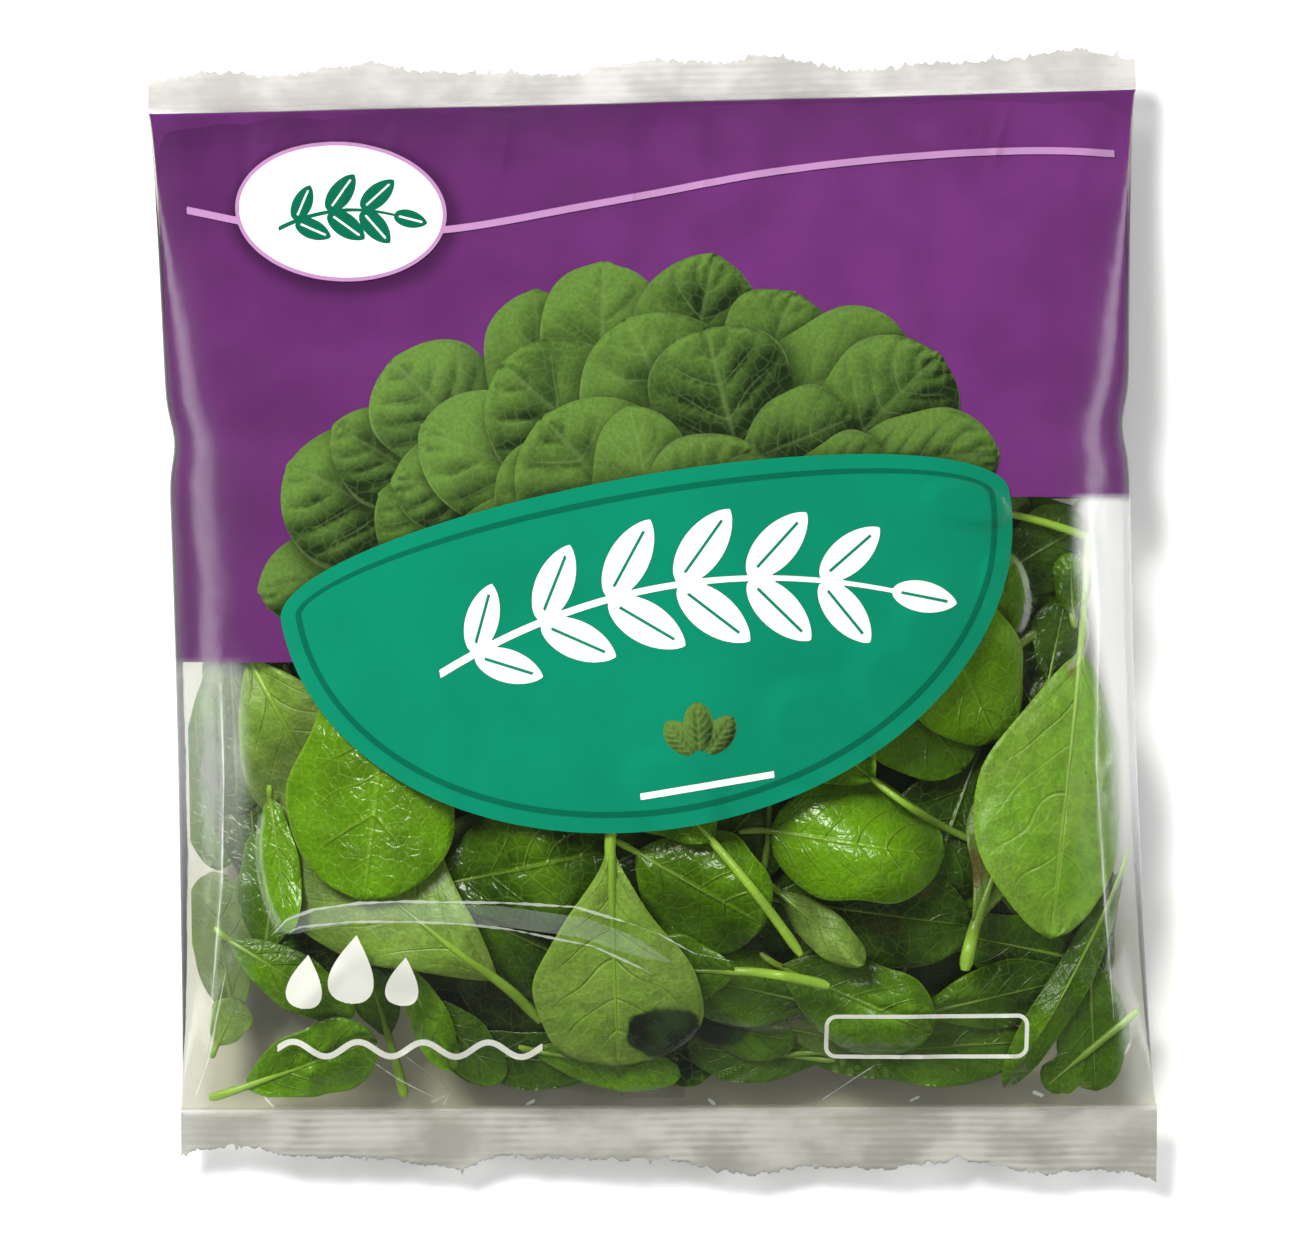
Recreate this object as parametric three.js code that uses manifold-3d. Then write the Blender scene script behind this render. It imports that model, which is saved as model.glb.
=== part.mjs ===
// A clear film pillow pack of baby spinach, lying on its back with its front up.
// Units are millimetres, +X runs to the pack's right, +Y to its top end and +Z up.
// The origin is the middle of the pack's bounding box, on the surface that it lies on.
import * as THREE from "three";
import { mergeVertices } from "three/addons/utils/BufferGeometryUtils.js";
import Module from "manifold-3d";

// The whole pack
const HALF_HEIGHT = 114; // from the middle to the furthest point of either cut end
const SIDE_HEIGHT = 15; // of the folded side edges above the table
const CROWN = 29; // of the front above the side edges, at its fullest
const BELLY = 19; // of the back below the side edges, before the table flattens it
const SECTION_SIDE = 2.4; // exponents of the rounded cross-section
const SECTION_TOP = 1.7;

// Where the two seal lines meet the side edges, as x and y
const TOP_SEAL_LINE = { left: [-101.2, 100.5], right: [96.8, 105.4] };
const BOTTOM_SEAL_LINE = { left: [-94.8, -99.3], right: [101.2, -98.5] };
const WAIST = { left: 2.2, right: 3.2 }; // how far the filling draws each side edge in
const PINCH = { depth: 1.3, share: 0.67, spread: 0.02 }; // a small dent in both side edges

// The filled length between the seal lines, and how the filling thins out towards them
const BODY_LENGTH = 202;
const TAPER = { bottom: 55, top: 95 };
const SIDE_TAPER = 48; // over which the side edges come down to the seals

// The crimped seals at both ends
const SEAL_THICKNESS = 0.9;
const RIB_PITCH = 2.4;
const RIB_RISE = 0.35;
const RIB_ROWS = 2; // rows of vertices for each rib
const SEAL_REACH = { top: 13.5, bottom: 18 }; // length of seal made before it is cut off
const SEAL_HEIGHT = { top: 12, bottom: 9.5 }; // above the table at the seal line
const SEAL_DROOP = { top: 0.12, bottom: 0.16 }; // fall for each millimetre of seal
const SEAL_WAVE = { rise: 0.9, length: 64, phase: { top: 0.4, bottom: 2 } };
const SEAL_WAVE_FADE = 16;

// The ragged cut at both ends, as the height of the cut at the left and right sides
const TOP_CUT = { left: 109.6, right: 113.2 };
const BOTTOM_CUT = { left: -108.6, right: -112.8 };
const CUT_WAVES = [
  { rise: 1.1, length: 71, phase: 0.6 },
  { rise: 0.7, length: 29, phase: 2.1 },
];
const CUT_RAGGED = 0.7;
const CUT_STEP = 2.6;
const CUT_HALF_WIDTH = 95; // the part of a cut that lies on film all the way

// Gathers that run in from the seals
const PUCKERS = [
  { rise: 0.75, length: 23, phase: 0.9 },
  { rise: 0.5, length: 13.5, phase: 2.6 },
];
const PUCKER_FADE = 17;
const PUCKER_SHIFT = { top: 31, bottom: 0 };
const RELIEF_START = 6; // all relief fades in over this distance from a seal line

// The lengthwise seam on the back
const SEAM = { halfWidth: 6.5, edge: 2.5, rise: 0.8 };

// Leaves that press against the film in the clear window: middle, size and direction of the tip
const LEAF_RISE = 1.7;
const LEAVES = [
  { x: -54, y: -29, length: 50, width: 36, turn: -100 },
  { x: -76, y: -30, length: 40, width: 17, turn: -80 },
  { x: -56, y: -57, length: 52, width: 30, turn: 140 },
  { x: -69, y: -87, length: 28, width: 17, turn: 15 },
  { x: -28, y: -50, length: 31, width: 19, turn: 10 },
  { x: -8, y: -74, length: 44, width: 33, turn: -88 },
  { x: -14, y: -91, length: 40, width: 12, turn: -4 },
  { x: 10, y: -55, length: 26, width: 22, turn: -40 },
  { x: 41, y: -45, length: 34, width: 23, turn: -8 },
  { x: 45, y: -61, length: 35, width: 17, turn: -15 },
  { x: 24, y: -78, length: 42, width: 24, turn: -20 },
  { x: 68, y: -77, length: 32, width: 15, turn: 8 },
  { x: 79, y: -34, length: 60, width: 29, turn: -96 },
  { x: 82, y: -74, length: 50, width: 12, turn: -118 },
  { x: 88, y: -86, length: 26, width: 18, turn: -92 },
  { x: 58, y: -10, length: 30, width: 24, turn: -70 },
  { x: 80, y: 6, length: 30, width: 19, turn: -100 },
];

// How finely the film is divided
const COLUMNS = 42;
const BODY_ROWS = 36;
const EDGE_CROWDING = 0.6; // share by which columns crowd towards the side edges

const lerp = THREE.MathUtils.lerp;
const smoothstep = THREE.MathUtils.smoothstep;

// A repeatable number between -1 and 1 for each whole number
function scatter(index) {
  const value = Math.sin(index * 127.1 + 11.7) * 43758.5453;
  return 2 * (value - Math.floor(value)) - 1;
}

function waves(list, position) {
  return list.reduce(
    (sum, wave) => sum + wave.rise * Math.sin((2 * Math.PI * position) / wave.length + wave.phase),
    0,
  );
}

// The rounded cross-section: 1 in the middle of the pack and 0 at its side edges
function section(across) {
  const inside = Math.max(0, 1 - Math.abs(across) ** SECTION_SIDE);
  return inside ** (1 / SECTION_TOP);
}

// How full the pack is at a distance from its bottom and its top seal line
function fullness(fromBottom, fromTop) {
  const rise = (distance, taper) => 1 - (1 - Math.min(1, Math.max(0, distance) / taper)) ** 2;
  return rise(fromBottom, TAPER.bottom) * rise(fromTop, TAPER.top);
}

// How high a leaf lifts the film at a point: a flat plateau with a rounded rim
function leafLift(leaf, x, y) {
  const turn = THREE.MathUtils.degToRad(leaf.turn);
  const along = (x - leaf.x) * Math.cos(turn) + (y - leaf.y) * Math.sin(turn);
  const aside = (y - leaf.y) * Math.cos(turn) - (x - leaf.x) * Math.sin(turn);
  const reach = Math.hypot(along / (leaf.length / 2), aside / (leaf.width / 2));
  return 1 - smoothstep(reach, 0.7, 1.15);
}

function leafRelief(x, y) {
  return LEAF_RISE * Math.max(...LEAVES.map((leaf) => leafLift(leaf, x, y)));
}

// The rows of the film from the bottom end to the top end. Each has its two side points, and how
// far it is inside the pack or out along a seal.
function filmRows() {
  const rows = [];
  const point = (pair) => new THREE.Vector2(...pair);
  const sealRows = (line, sign, reach, end) => {
    const count = Math.round((RIB_ROWS * reach) / RIB_PITCH);
    const made = [];
    for (let i = 1; i <= count; i++) {
      const out = (i * RIB_PITCH) / RIB_ROWS;
      const step = new THREE.Vector2(0, sign * out);
      made.push({ left: point(line.left).add(step), right: point(line.right).add(step), out, end });
    }
    return made;
  };
  rows.push(...sealRows(BOTTOM_SEAL_LINE, -1, SEAL_REACH.bottom, "bottom").reverse());
  for (let i = 0; i <= BODY_ROWS; i++) {
    const even = i / BODY_ROWS;
    const share = lerp(even, (1 - Math.cos(Math.PI * even)) / 2, 0.45);
    const drawn = Math.sin(Math.PI * share) ** 0.6;
    const dent = PINCH.depth * Math.exp(-(((share - PINCH.share) / PINCH.spread) ** 2) / 2);
    const left = point(BOTTOM_SEAL_LINE.left).lerp(point(TOP_SEAL_LINE.left), share);
    const right = point(BOTTOM_SEAL_LINE.right).lerp(point(TOP_SEAL_LINE.right), share);
    left.x += WAIST.left * drawn + dent;
    right.x -= WAIST.right * drawn + dent;
    rows.push({ left, right, share, out: 0 });
  }
  rows.push(...sealRows(TOP_SEAL_LINE, 1, SEAL_REACH.top, "top"));
  return rows;
}

// Height of the middle of a crimped seal, which waves a little and droops outwards
function sealMiddle(x, out, end) {
  const turn = (2 * Math.PI * x) / SEAL_WAVE.length + SEAL_WAVE.phase[end];
  return SEAL_HEIGHT[end] - SEAL_DROOP[end] * out + SEAL_WAVE.rise * Math.sin(turn);
}

// The front and back heights of the film where a column crosses a row
function filmHeights(row, across, x, y) {
  const thick = SEAL_THICKNESS / 2;
  const closed = Math.abs(across) === 1;
  if (row.out > 0) {
    const middle = sealMiddle(x, row.out, row.end);
    if (closed) return { front: middle, back: middle };
    const rib = RIB_RISE * Math.cos((2 * Math.PI * row.out) / RIB_PITCH);
    return { front: middle + thick + rib, back: middle - thick + rib };
  }
  const fromBottom = row.share * BODY_LENGTH;
  const fromTop = (1 - row.share) * BODY_LENGTH;
  const end = row.share > 0.5 ? "top" : "bottom";
  const fromEnd = Math.min(fromBottom, fromTop);
  const level = smoothstep(fromEnd, 0, SIDE_TAPER);
  const sealed = sealMiddle(x, 0, end) - SEAL_HEIGHT[end];
  const side = lerp(SEAL_HEIGHT[end], SIDE_HEIGHT, level) + sealed * Math.exp(-fromEnd / SEAL_WAVE_FADE);
  if (closed) return { front: side, back: Math.max(0, side) };
  const bulge = fullness(fromBottom, fromTop) * section(across);
  const gather = waves(PUCKERS, x + PUCKER_SHIFT[end]) * Math.exp(-fromEnd / PUCKER_FADE);
  const shown = smoothstep(fromEnd, 0, RELIEF_START) * (1 - Math.abs(across) ** 6);
  const relief = (gather + leafRelief(x, y)) * shown;
  const seam = SEAM.rise * (1 - smoothstep(Math.abs(x), SEAM.halfWidth - SEAM.edge, SEAM.halfWidth));
  return {
    front: side + thick + CROWN * bulge + relief,
    back: Math.max(0, side - thick - BELLY * bulge - seam * shown - gather * shown),
  };
}

// A closed film body: a front and a back surface that share their side edges
function filmBody() {
  const rows = filmRows();
  const positions = [];
  const indices = [];
  const width = COLUMNS + 1;
  const sheets = { front: [], back: [] };
  for (const sheet of ["front", "back"]) {
    rows.forEach((row, r) => {
      sheets[sheet][r] = [];
      for (let c = 0; c < width; c++) {
        const even = (2 * c) / COLUMNS - 1;
        const across = c === 0 || c === COLUMNS ? even : lerp(even, Math.sin((Math.PI / 2) * even), EDGE_CROWDING);
        const x = lerp(row.left.x, row.right.x, (across + 1) / 2);
        const y = lerp(row.left.y, row.right.y, (across + 1) / 2);
        sheets[sheet][r][c] = positions.length / 3;
        positions.push(x, y, filmHeights(row, across, x, y)[sheet]);
      }
    });
  }
  const quad = (a, b, c, d) => indices.push(a, b, c, a, c, d);
  for (let r = 0; r < rows.length - 1; r++) {
    for (let c = 0; c < COLUMNS; c++) {
      const [f, b] = [sheets.front, sheets.back];
      quad(f[r][c], f[r][c + 1], f[r + 1][c + 1], f[r + 1][c]);
      quad(b[r][c], b[r + 1][c], b[r + 1][c + 1], b[r][c + 1]);
    }
  }
  const last = rows.length - 1;
  for (let c = 0; c < COLUMNS; c++) {
    const [f, b] = [sheets.front, sheets.back];
    quad(b[0][c], b[0][c + 1], f[0][c + 1], f[0][c]);
    quad(b[last][c + 1], b[last][c], f[last][c], f[last][c + 1]);
  }
  const geometry = new THREE.BufferGeometry();
  geometry.setAttribute("position", new THREE.Float32BufferAttribute(positions, 3));
  geometry.setIndex(indices);
  return geometry;
}

// One ragged cut, from left to right, whose furthest point lies at the pack's full height
function raggedCut(cut, sign) {
  const points = [];
  for (let x = -HALF_HEIGHT; x <= HALF_HEIGHT; x += CUT_STEP) {
    const straight = lerp(cut.left, cut.right, (x + HALF_HEIGHT) / (2 * HALF_HEIGHT));
    const step = points.length + (sign > 0 ? 0 : 200);
    points.push(new THREE.Vector2(x, straight + waves(CUT_WAVES, x * sign) + CUT_RAGGED * scatter(step)));
  }
  const onFilm = points.filter((p) => Math.abs(p.x) < CUT_HALF_WIDTH);
  const furthest = Math.max(...onFilm.map((p) => sign * p.y));
  points.forEach((p) => (p.y += sign * (HALF_HEIGHT - furthest)));
  return points;
}

// The outline that trims both ends of the film, as a block taller than the pack
function cuttingBlock() {
  const outline = new THREE.Shape([...raggedCut(BOTTOM_CUT, -1), ...raggedCut(TOP_CUT, 1).reverse()]);
  const depth = 2 * (SIDE_HEIGHT + CROWN);
  const block = new THREE.ExtrudeGeometry(outline, { depth, bevelEnabled: false });
  return block.translate(0, 0, -depth / 4);
}

const wasm = await Module();
wasm.setup();

function toManifold(geometry) {
  const bare = new THREE.BufferGeometry().setAttribute("position", geometry.getAttribute("position"));
  bare.setIndex(geometry.index);
  const merged = mergeVertices(bare, 1e-4);
  return new wasm.Manifold(
    new wasm.Mesh({
      numProp: 3,
      vertProperties: merged.attributes.position.array,
      triVerts: new Uint32Array(merged.index.array),
    }),
  );
}

function toGeometry(manifold) {
  const mesh = manifold.getMesh();
  const geometry = new THREE.BufferGeometry();
  geometry.setAttribute("position", new THREE.BufferAttribute(mesh.vertProperties, 3));
  geometry.setIndex(new THREE.BufferAttribute(mesh.triVerts, 1));
  geometry.computeVertexNormals();
  return geometry;
}

const film = new THREE.MeshStandardMaterial({ color: "#4f7a1c", roughness: 0.25, metalness: 0 });

const trimmed = toManifold(filmBody()).intersect(toManifold(cuttingBlock()));
const bag = new THREE.Mesh(toGeometry(trimmed), film);
bag.name = "bag";

const pack = new THREE.Group();
pack.add(bag);

export default pack;
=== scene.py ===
"""Looks of a clear film pillow pack of baby spinach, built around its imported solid.

The pack lies on its back with its printed front up. +X runs to its right, +Y to its top end
and +Z up. Sizes are in millimetres until a mesh is made, which is in metres.
"""

from __future__ import annotations

import logging
import math
from collections.abc import Callable
from dataclasses import dataclass, field
from enum import Enum

import bpy
import numpy as np
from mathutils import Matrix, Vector

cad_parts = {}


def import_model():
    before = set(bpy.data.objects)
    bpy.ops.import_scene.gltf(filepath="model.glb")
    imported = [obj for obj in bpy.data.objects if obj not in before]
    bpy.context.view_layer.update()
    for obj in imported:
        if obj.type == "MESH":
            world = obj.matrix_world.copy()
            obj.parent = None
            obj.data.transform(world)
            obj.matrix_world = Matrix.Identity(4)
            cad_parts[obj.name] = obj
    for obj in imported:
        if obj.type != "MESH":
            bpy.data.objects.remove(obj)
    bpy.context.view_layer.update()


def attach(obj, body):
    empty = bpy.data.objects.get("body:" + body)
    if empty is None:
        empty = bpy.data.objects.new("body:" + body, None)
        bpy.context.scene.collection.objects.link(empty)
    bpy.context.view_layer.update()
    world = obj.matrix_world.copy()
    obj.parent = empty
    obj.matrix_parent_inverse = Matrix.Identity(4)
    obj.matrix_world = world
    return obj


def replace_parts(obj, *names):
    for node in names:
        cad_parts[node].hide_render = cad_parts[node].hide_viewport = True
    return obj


MM = 0.001
FOLD_LINE_DEPTH = 0.04
SEAL_RIB_PITCH = 1.5
BLADE_END = 0.9995
PRESSING_LEAVES = 26
BODY = "root"
LOG = logging.getLogger("spinach_pack")

Array = np.ndarray
Material = bpy.types.Material
NodeTree = bpy.types.NodeTree
Socket = bpy.types.NodeSocket
Spot = tuple[float, float, float, float, float]
Triple = tuple[float, float, float]
Colour = Triple
Point = tuple[float, float]


def lerp(start: Array | float, end: Array | float, share: Array | float) -> Array | float:
    """Returns the value that lies at share between start and end."""
    return start + (end - start) * share


def smoothstep(value: Array | float, low: float, high: float) -> Array:
    """Returns 0 below low and 1 above high, with a smooth rise between them."""
    share = np.clip((value - low) / (high - low), 0, 1)
    return share * share * (3 - 2 * share)


def srgb(red: int, green: int, blue: int) -> Colour:
    """Returns a colour given as 0 to 255 on screen as the linear one that shaders take."""
    return tuple(((c / 255 + 0.055) / 1.055) ** 2.4 if c > 10 else c / 3294 for c in (red, green, blue))


def turned(x: Array, y: Array, middle: Point, degrees: float) -> tuple[Array, Array]:
    """Measures places along and across a line through a point.

    Args:
        x: places across the pack.
        y: places along the pack.
        middle: the point.
        degrees: the line's direction, from the pack's right.

    Returns:
        The distances along the line and to its left.
    """
    turn = math.radians(degrees)
    along = (x - middle[0]) * math.cos(turn) + (y - middle[1]) * math.sin(turn)
    return along, (y - middle[1]) * math.cos(turn) - (x - middle[0]) * math.sin(turn)


def grid_faces(rows: int, columns: int, first: int = 0, flipped: bool = False) -> Array:
    """Returns the four-sided faces of a sheet of points.

    Args:
        rows: number of rows of points.
        columns: number of points in each row.
        first: index of the sheet's first point.
        flipped: whether the faces look the other way.

    Returns:
        One row of four point indices for each face.
    """
    corner = (np.arange(rows - 1)[:, None] * columns + np.arange(columns - 1)[None, :]).ravel() + first
    faces = np.stack([corner, corner + 1, corner + columns + 1, corner + columns], axis=1)
    return faces[:, ::-1] if flipped else faces


@dataclass
class MeshDraft:
    """Points, faces and point values of a mesh while it is put together."""

    points: list[Array] = field(default_factory=list)
    faces: list[list[int]] = field(default_factory=list)
    values: dict[str, list[Array]] = field(default_factory=dict)
    count: int = 0

    def add(self, points: Array, faces: Array, **values: Array | float) -> None:
        """Adds one more shape.

        Args:
            points: its points, in millimetres.
            faces: its faces, counted from its own first point.
            **values: named values, one for each point or one for all.
        """
        self.faces.extend((np.asarray(faces) + self.count).tolist())
        self.points.append(points)
        for name, value in values.items():
            self.values.setdefault(name, []).append(np.broadcast_to(value, len(points)).astype(float))
        self.count += len(points)

    def build(self, name: str, material: Material, slot: str) -> bpy.types.Object:
        """Makes the mesh object, which rides on the pack.

        Args:
            name: the piece's name.
            material: its material.
            slot: not used.

        Returns:
            The new object.
        """
        mesh = bpy.data.meshes.new(name)
        mesh.from_pydata((np.concatenate(self.points) * MM).tolist(), [], self.faces)
        for value_name, parts in self.values.items():
            attribute = mesh.attributes.new(value_name, "FLOAT", "POINT")
            attribute.data.foreach_set("value", np.concatenate(parts).astype(np.float32))
        mesh.polygons.foreach_set("use_smooth", np.ones(len(mesh.polygons), bool))
        mesh.materials.append(material)
        mesh.validate()
        mesh.update()
        piece = bpy.data.objects.new(name, mesh)
        bpy.context.scene.collection.objects.link(piece)
        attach(piece, BODY)
        LOG.info("%s: %d points, %d faces", name, len(mesh.vertices), len(mesh.polygons))
        return piece


@dataclass(frozen=True)
class Waves:
    """A sum of sine waves along a line."""

    rises: tuple[float, ...]
    lengths: tuple[float, ...]
    phases: tuple[float, ...]

    def at(self, position: Array) -> Array:
        """Returns the height of the waves at each position."""
        terms = zip(self.rises, self.lengths, self.phases)
        return sum(rise * np.sin(2 * math.pi * position / length + phase) for rise, length, phase in terms)


@dataclass(frozen=True)
class Crease:
    """A fold line in the film, as a rounded ridge along a few points."""

    points: tuple[Point, ...]
    rise: float
    width: float
    # Half width of the painted highlight line along the fold, 0 for none.
    worn: float = 0.0

    def near(self, x: Array, y: Array) -> tuple[Array, Array]:
        """Returns each place's distance from the fold and how strong the fold is beside it.

        Args:
            x: places across the pack.
            y: places along the pack.

        Returns:
            The distances, and strengths from 0 to 1.
        """
        nearest = np.full(x.shape, np.inf)
        along = np.zeros(x.shape)
        last = len(self.points) - 1
        for index, (start, end) in enumerate(zip(self.points, self.points[1:])):
            run = np.array(end) - np.array(start)
            share = np.clip(((x - start[0]) * run[0] + (y - start[1]) * run[1]) / (run @ run), 0, 1)
            gap = np.hypot(x - start[0] - share * run[0], y - start[1] - share * run[1])
            closer = gap < nearest
            nearest = np.where(closer, gap, nearest)
            along = np.where(closer, (index + share) / last, along)
        return nearest, smoothstep(along, 0, 0.12) * (1 - smoothstep(along, 0.8, 1))

    def lift(self, x: Array, y: Array) -> Array:
        """Returns how far the ridge lifts the film at each place."""
        nearest, fade = self.near(x, y)
        return self.rise * np.exp(-((nearest / self.width) ** 2)) * fade

    def band(self, x: Array, y: Array) -> Array:
        """Returns how far inside an even band along the fold each place lies; the band carries a painted
        sheen.
        """
        nearest, fade = self.near(x, y)
        return self.worn * fade - nearest

    def line(self, x: Array, y: Array) -> Array:
        """Returns how far inside the fold's painted highlight line each place lies.

        Args:
            x: places across the pack.
            y: places along the pack.

        Returns:
            The distances inside.
        """
        nearest, fade = self.near(x, y)
        broken = 0.75 + 0.25 * np.sin(0.55 * x + 0.3 * y) + 0.15 * np.sin(2.1 * x - 1.3 * y)
        return self.worn * fade * broken - nearest


@dataclass(frozen=True)
class PackEnd:
    """One crimped end: its seal line at both side edges, its height and its ragged cut."""

    left: Point
    right: Point
    sign: int
    height: float
    droop: float
    phase: float
    cut_left: float
    cut_right: float

    def line(self, x: Array) -> Array:
        """Returns how far along the pack the seal line lies at each place across it."""
        return lerp(self.left[1], self.right[1], (x - self.left[0]) / (self.right[0] - self.left[0]))


TOP_END = PackEnd((-101.2, 100.5), (96.8, 105.4), 1, 12.0, 0.12, 0.4, 109.6, 113.2)
BOTTOM_END = PackEnd((-94.8, -99.3), (101.2, -98.5), -1, 9.5, 0.16, 2.0, -108.6, -112.8)


def header_line(x: Array) -> Array:
    """Returns how far along the pack the printed header's lower edge lies at each place across it."""
    return lerp(-9.3, 23.5, smoothstep(x, -76.0, 76.0))


@dataclass
class PackForm:
    """The form of the filled film tube, which everything else follows."""

    side_height: float = 15.0
    crown: float = 29.0
    belly: float = 19.0
    section_side: float = 2.4
    section_top: float = 1.7
    waist: Point = (2.2, 3.2)
    pinch_depth: float = 1.3
    pinch_share: float = 0.67
    pinch_spread: float = 0.02
    body_length: float = 202.0
    bottom_taper: float = 55.0
    top_taper: float = 95.0
    side_taper: float = 48.0
    film: float = 0.15
    wave_rise: float = 0.9
    wave_length: float = 64.0
    wave_fade: float = 16.0
    relief_start: float = 6.0
    creases: list[Crease] = field(default_factory=list)
    gathers: Waves = Waves((0.75, 0.5), (23.0, 13.5), (0.9, 2.6))
    gather_fade: float = 17.0
    swell: list[tuple[float, float, float, float]] = field(default_factory=list)
    presses: list["SpinachLeaf"] = field(default_factory=list)
    press_rise: float = 1.0

    def sides(self, share: Array) -> tuple[Array, Array]:
        """Returns the places of the left and right side edges at a share of the body's length.

        Args:
            share: shares of the length, from 0 at the bottom seal.

        Returns:
            The places of the left and of the right edge.
        """
        drawn = np.sin(math.pi * np.clip(share, 0, 1)) ** 0.6
        dent = self.pinch_depth * np.exp(-(((share - self.pinch_share) / self.pinch_spread) ** 2) / 2)
        left = lerp(BOTTOM_END.left[0], TOP_END.left[0], share) + self.waist[0] * drawn + dent
        right = lerp(BOTTOM_END.right[0], TOP_END.right[0], share) - self.waist[1] * drawn - dent
        return left, right

    def share_at(self, x: Array, y: Array) -> Array:
        """Returns how far along the body each place lies, from 0 at the bottom seal to 1 at the top."""
        low, high = BOTTOM_END.line(x), TOP_END.line(x)
        return np.clip((y - low) / (high - low), 0, 1)

    def across_at(self, x: Array, y: Array) -> Array:
        """Returns how far across each place lies, from -1 at the left side edge to 1 at the right."""
        left, right = self.sides(self.share_at(x, y))
        return np.clip((2 * x - left - right) / (right - left), -1, 1)

    def seal_middle(self, end: PackEnd, x: Array, out: Array | float) -> Array:
        """Returns the height of a seal's middle at places across it, out from its line."""
        wave = self.wave_rise * np.sin(2 * math.pi * x / self.wave_length + end.phase)
        return end.height - end.droop * out + wave

    def level(self, x: Array, y: Array) -> tuple[Array, Array, Array]:
        """Works out what both film surfaces share.

        Args:
            x: places across the pack.
            y: places along the pack.

        Returns:
            The height of the side edges, how full the pack is, and the distance to the nearer seal.
        """
        share = self.share_at(x, y)
        low, high = share * self.body_length, (1 - share) * self.body_length
        near = np.minimum(low, high)
        rise = smoothstep(near, 0, self.side_taper)
        sides = 0.0
        for end, chosen in ((TOP_END, share > 0.5), (BOTTOM_END, share <= 0.5)):
            wave = (self.seal_middle(end, x, 0) - end.height) * np.exp(-near / self.wave_fade)
            sides = sides + chosen * (lerp(end.height, self.side_height, rise) + wave)
        inside = np.maximum(0, 1 - np.abs(self.across_at(x, y)) ** self.section_side)
        taper_low = 1 - (1 - np.clip(low / self.bottom_taper, 0, 1)) ** 2
        taper_high = 1 - (1 - np.clip(high / self.top_taper, 0, 1)) ** 2
        return sides, taper_low * taper_high * inside ** (1 / self.section_top), near

    def gathered(self, x: Array, y: Array, near: Array) -> Array:
        """Returns the height of the gathers that run in from the seals at each place."""
        shift = np.where(self.share_at(x, y) > 0.5, 31.0, 0.0)
        return self.gathers.at(x + shift) * np.exp(-near / self.gather_fade)

    def front(self, x: Array, y: Array) -> Array:
        """Returns the height of the front film at each place.

        Args:
            x: places across the pack.
            y: places along the pack.

        Returns:
            The heights.
        """
        sides, bulge, near = self.level(x, y)
        shown = smoothstep(near, 0, self.relief_start) * (1 - np.abs(self.across_at(x, y)) ** 6)
        relief = self.gathered(x, y, near)
        lift = np.zeros(x.shape)
        for leaf in self.presses:
            lift = np.maximum(lift, leaf.press(x, y))
        relief = relief + self.press_rise * lift
        for rise, across, along, phase in self.swell:
            relief = relief + rise * np.sin(across * x + along * y + phase)
        for crease in self.creases:
            relief = relief + crease.lift(x, y)
        return sides + self.film + self.crown * bulge + relief * shown

    def back(self, x: Array, y: Array) -> Array:
        """Returns the height of the back film at each place, which lies flat where it rests.

        Args:
            x: places across the pack.
            y: places along the pack.

        Returns:
            The heights.
        """
        sides, bulge, near = self.level(x, y)
        shown = smoothstep(near, 0, self.relief_start) * (1 - np.abs(self.across_at(x, y)) ** 6)
        relief = self.gathered(x, y, near) * shown
        return np.maximum(self.film, sides - self.film - self.belly * bulge - relief)


class LeafSide(Enum):
    """The face of a leaf that looks out through the film."""

    TOP = 0
    UNDER = 1


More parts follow.
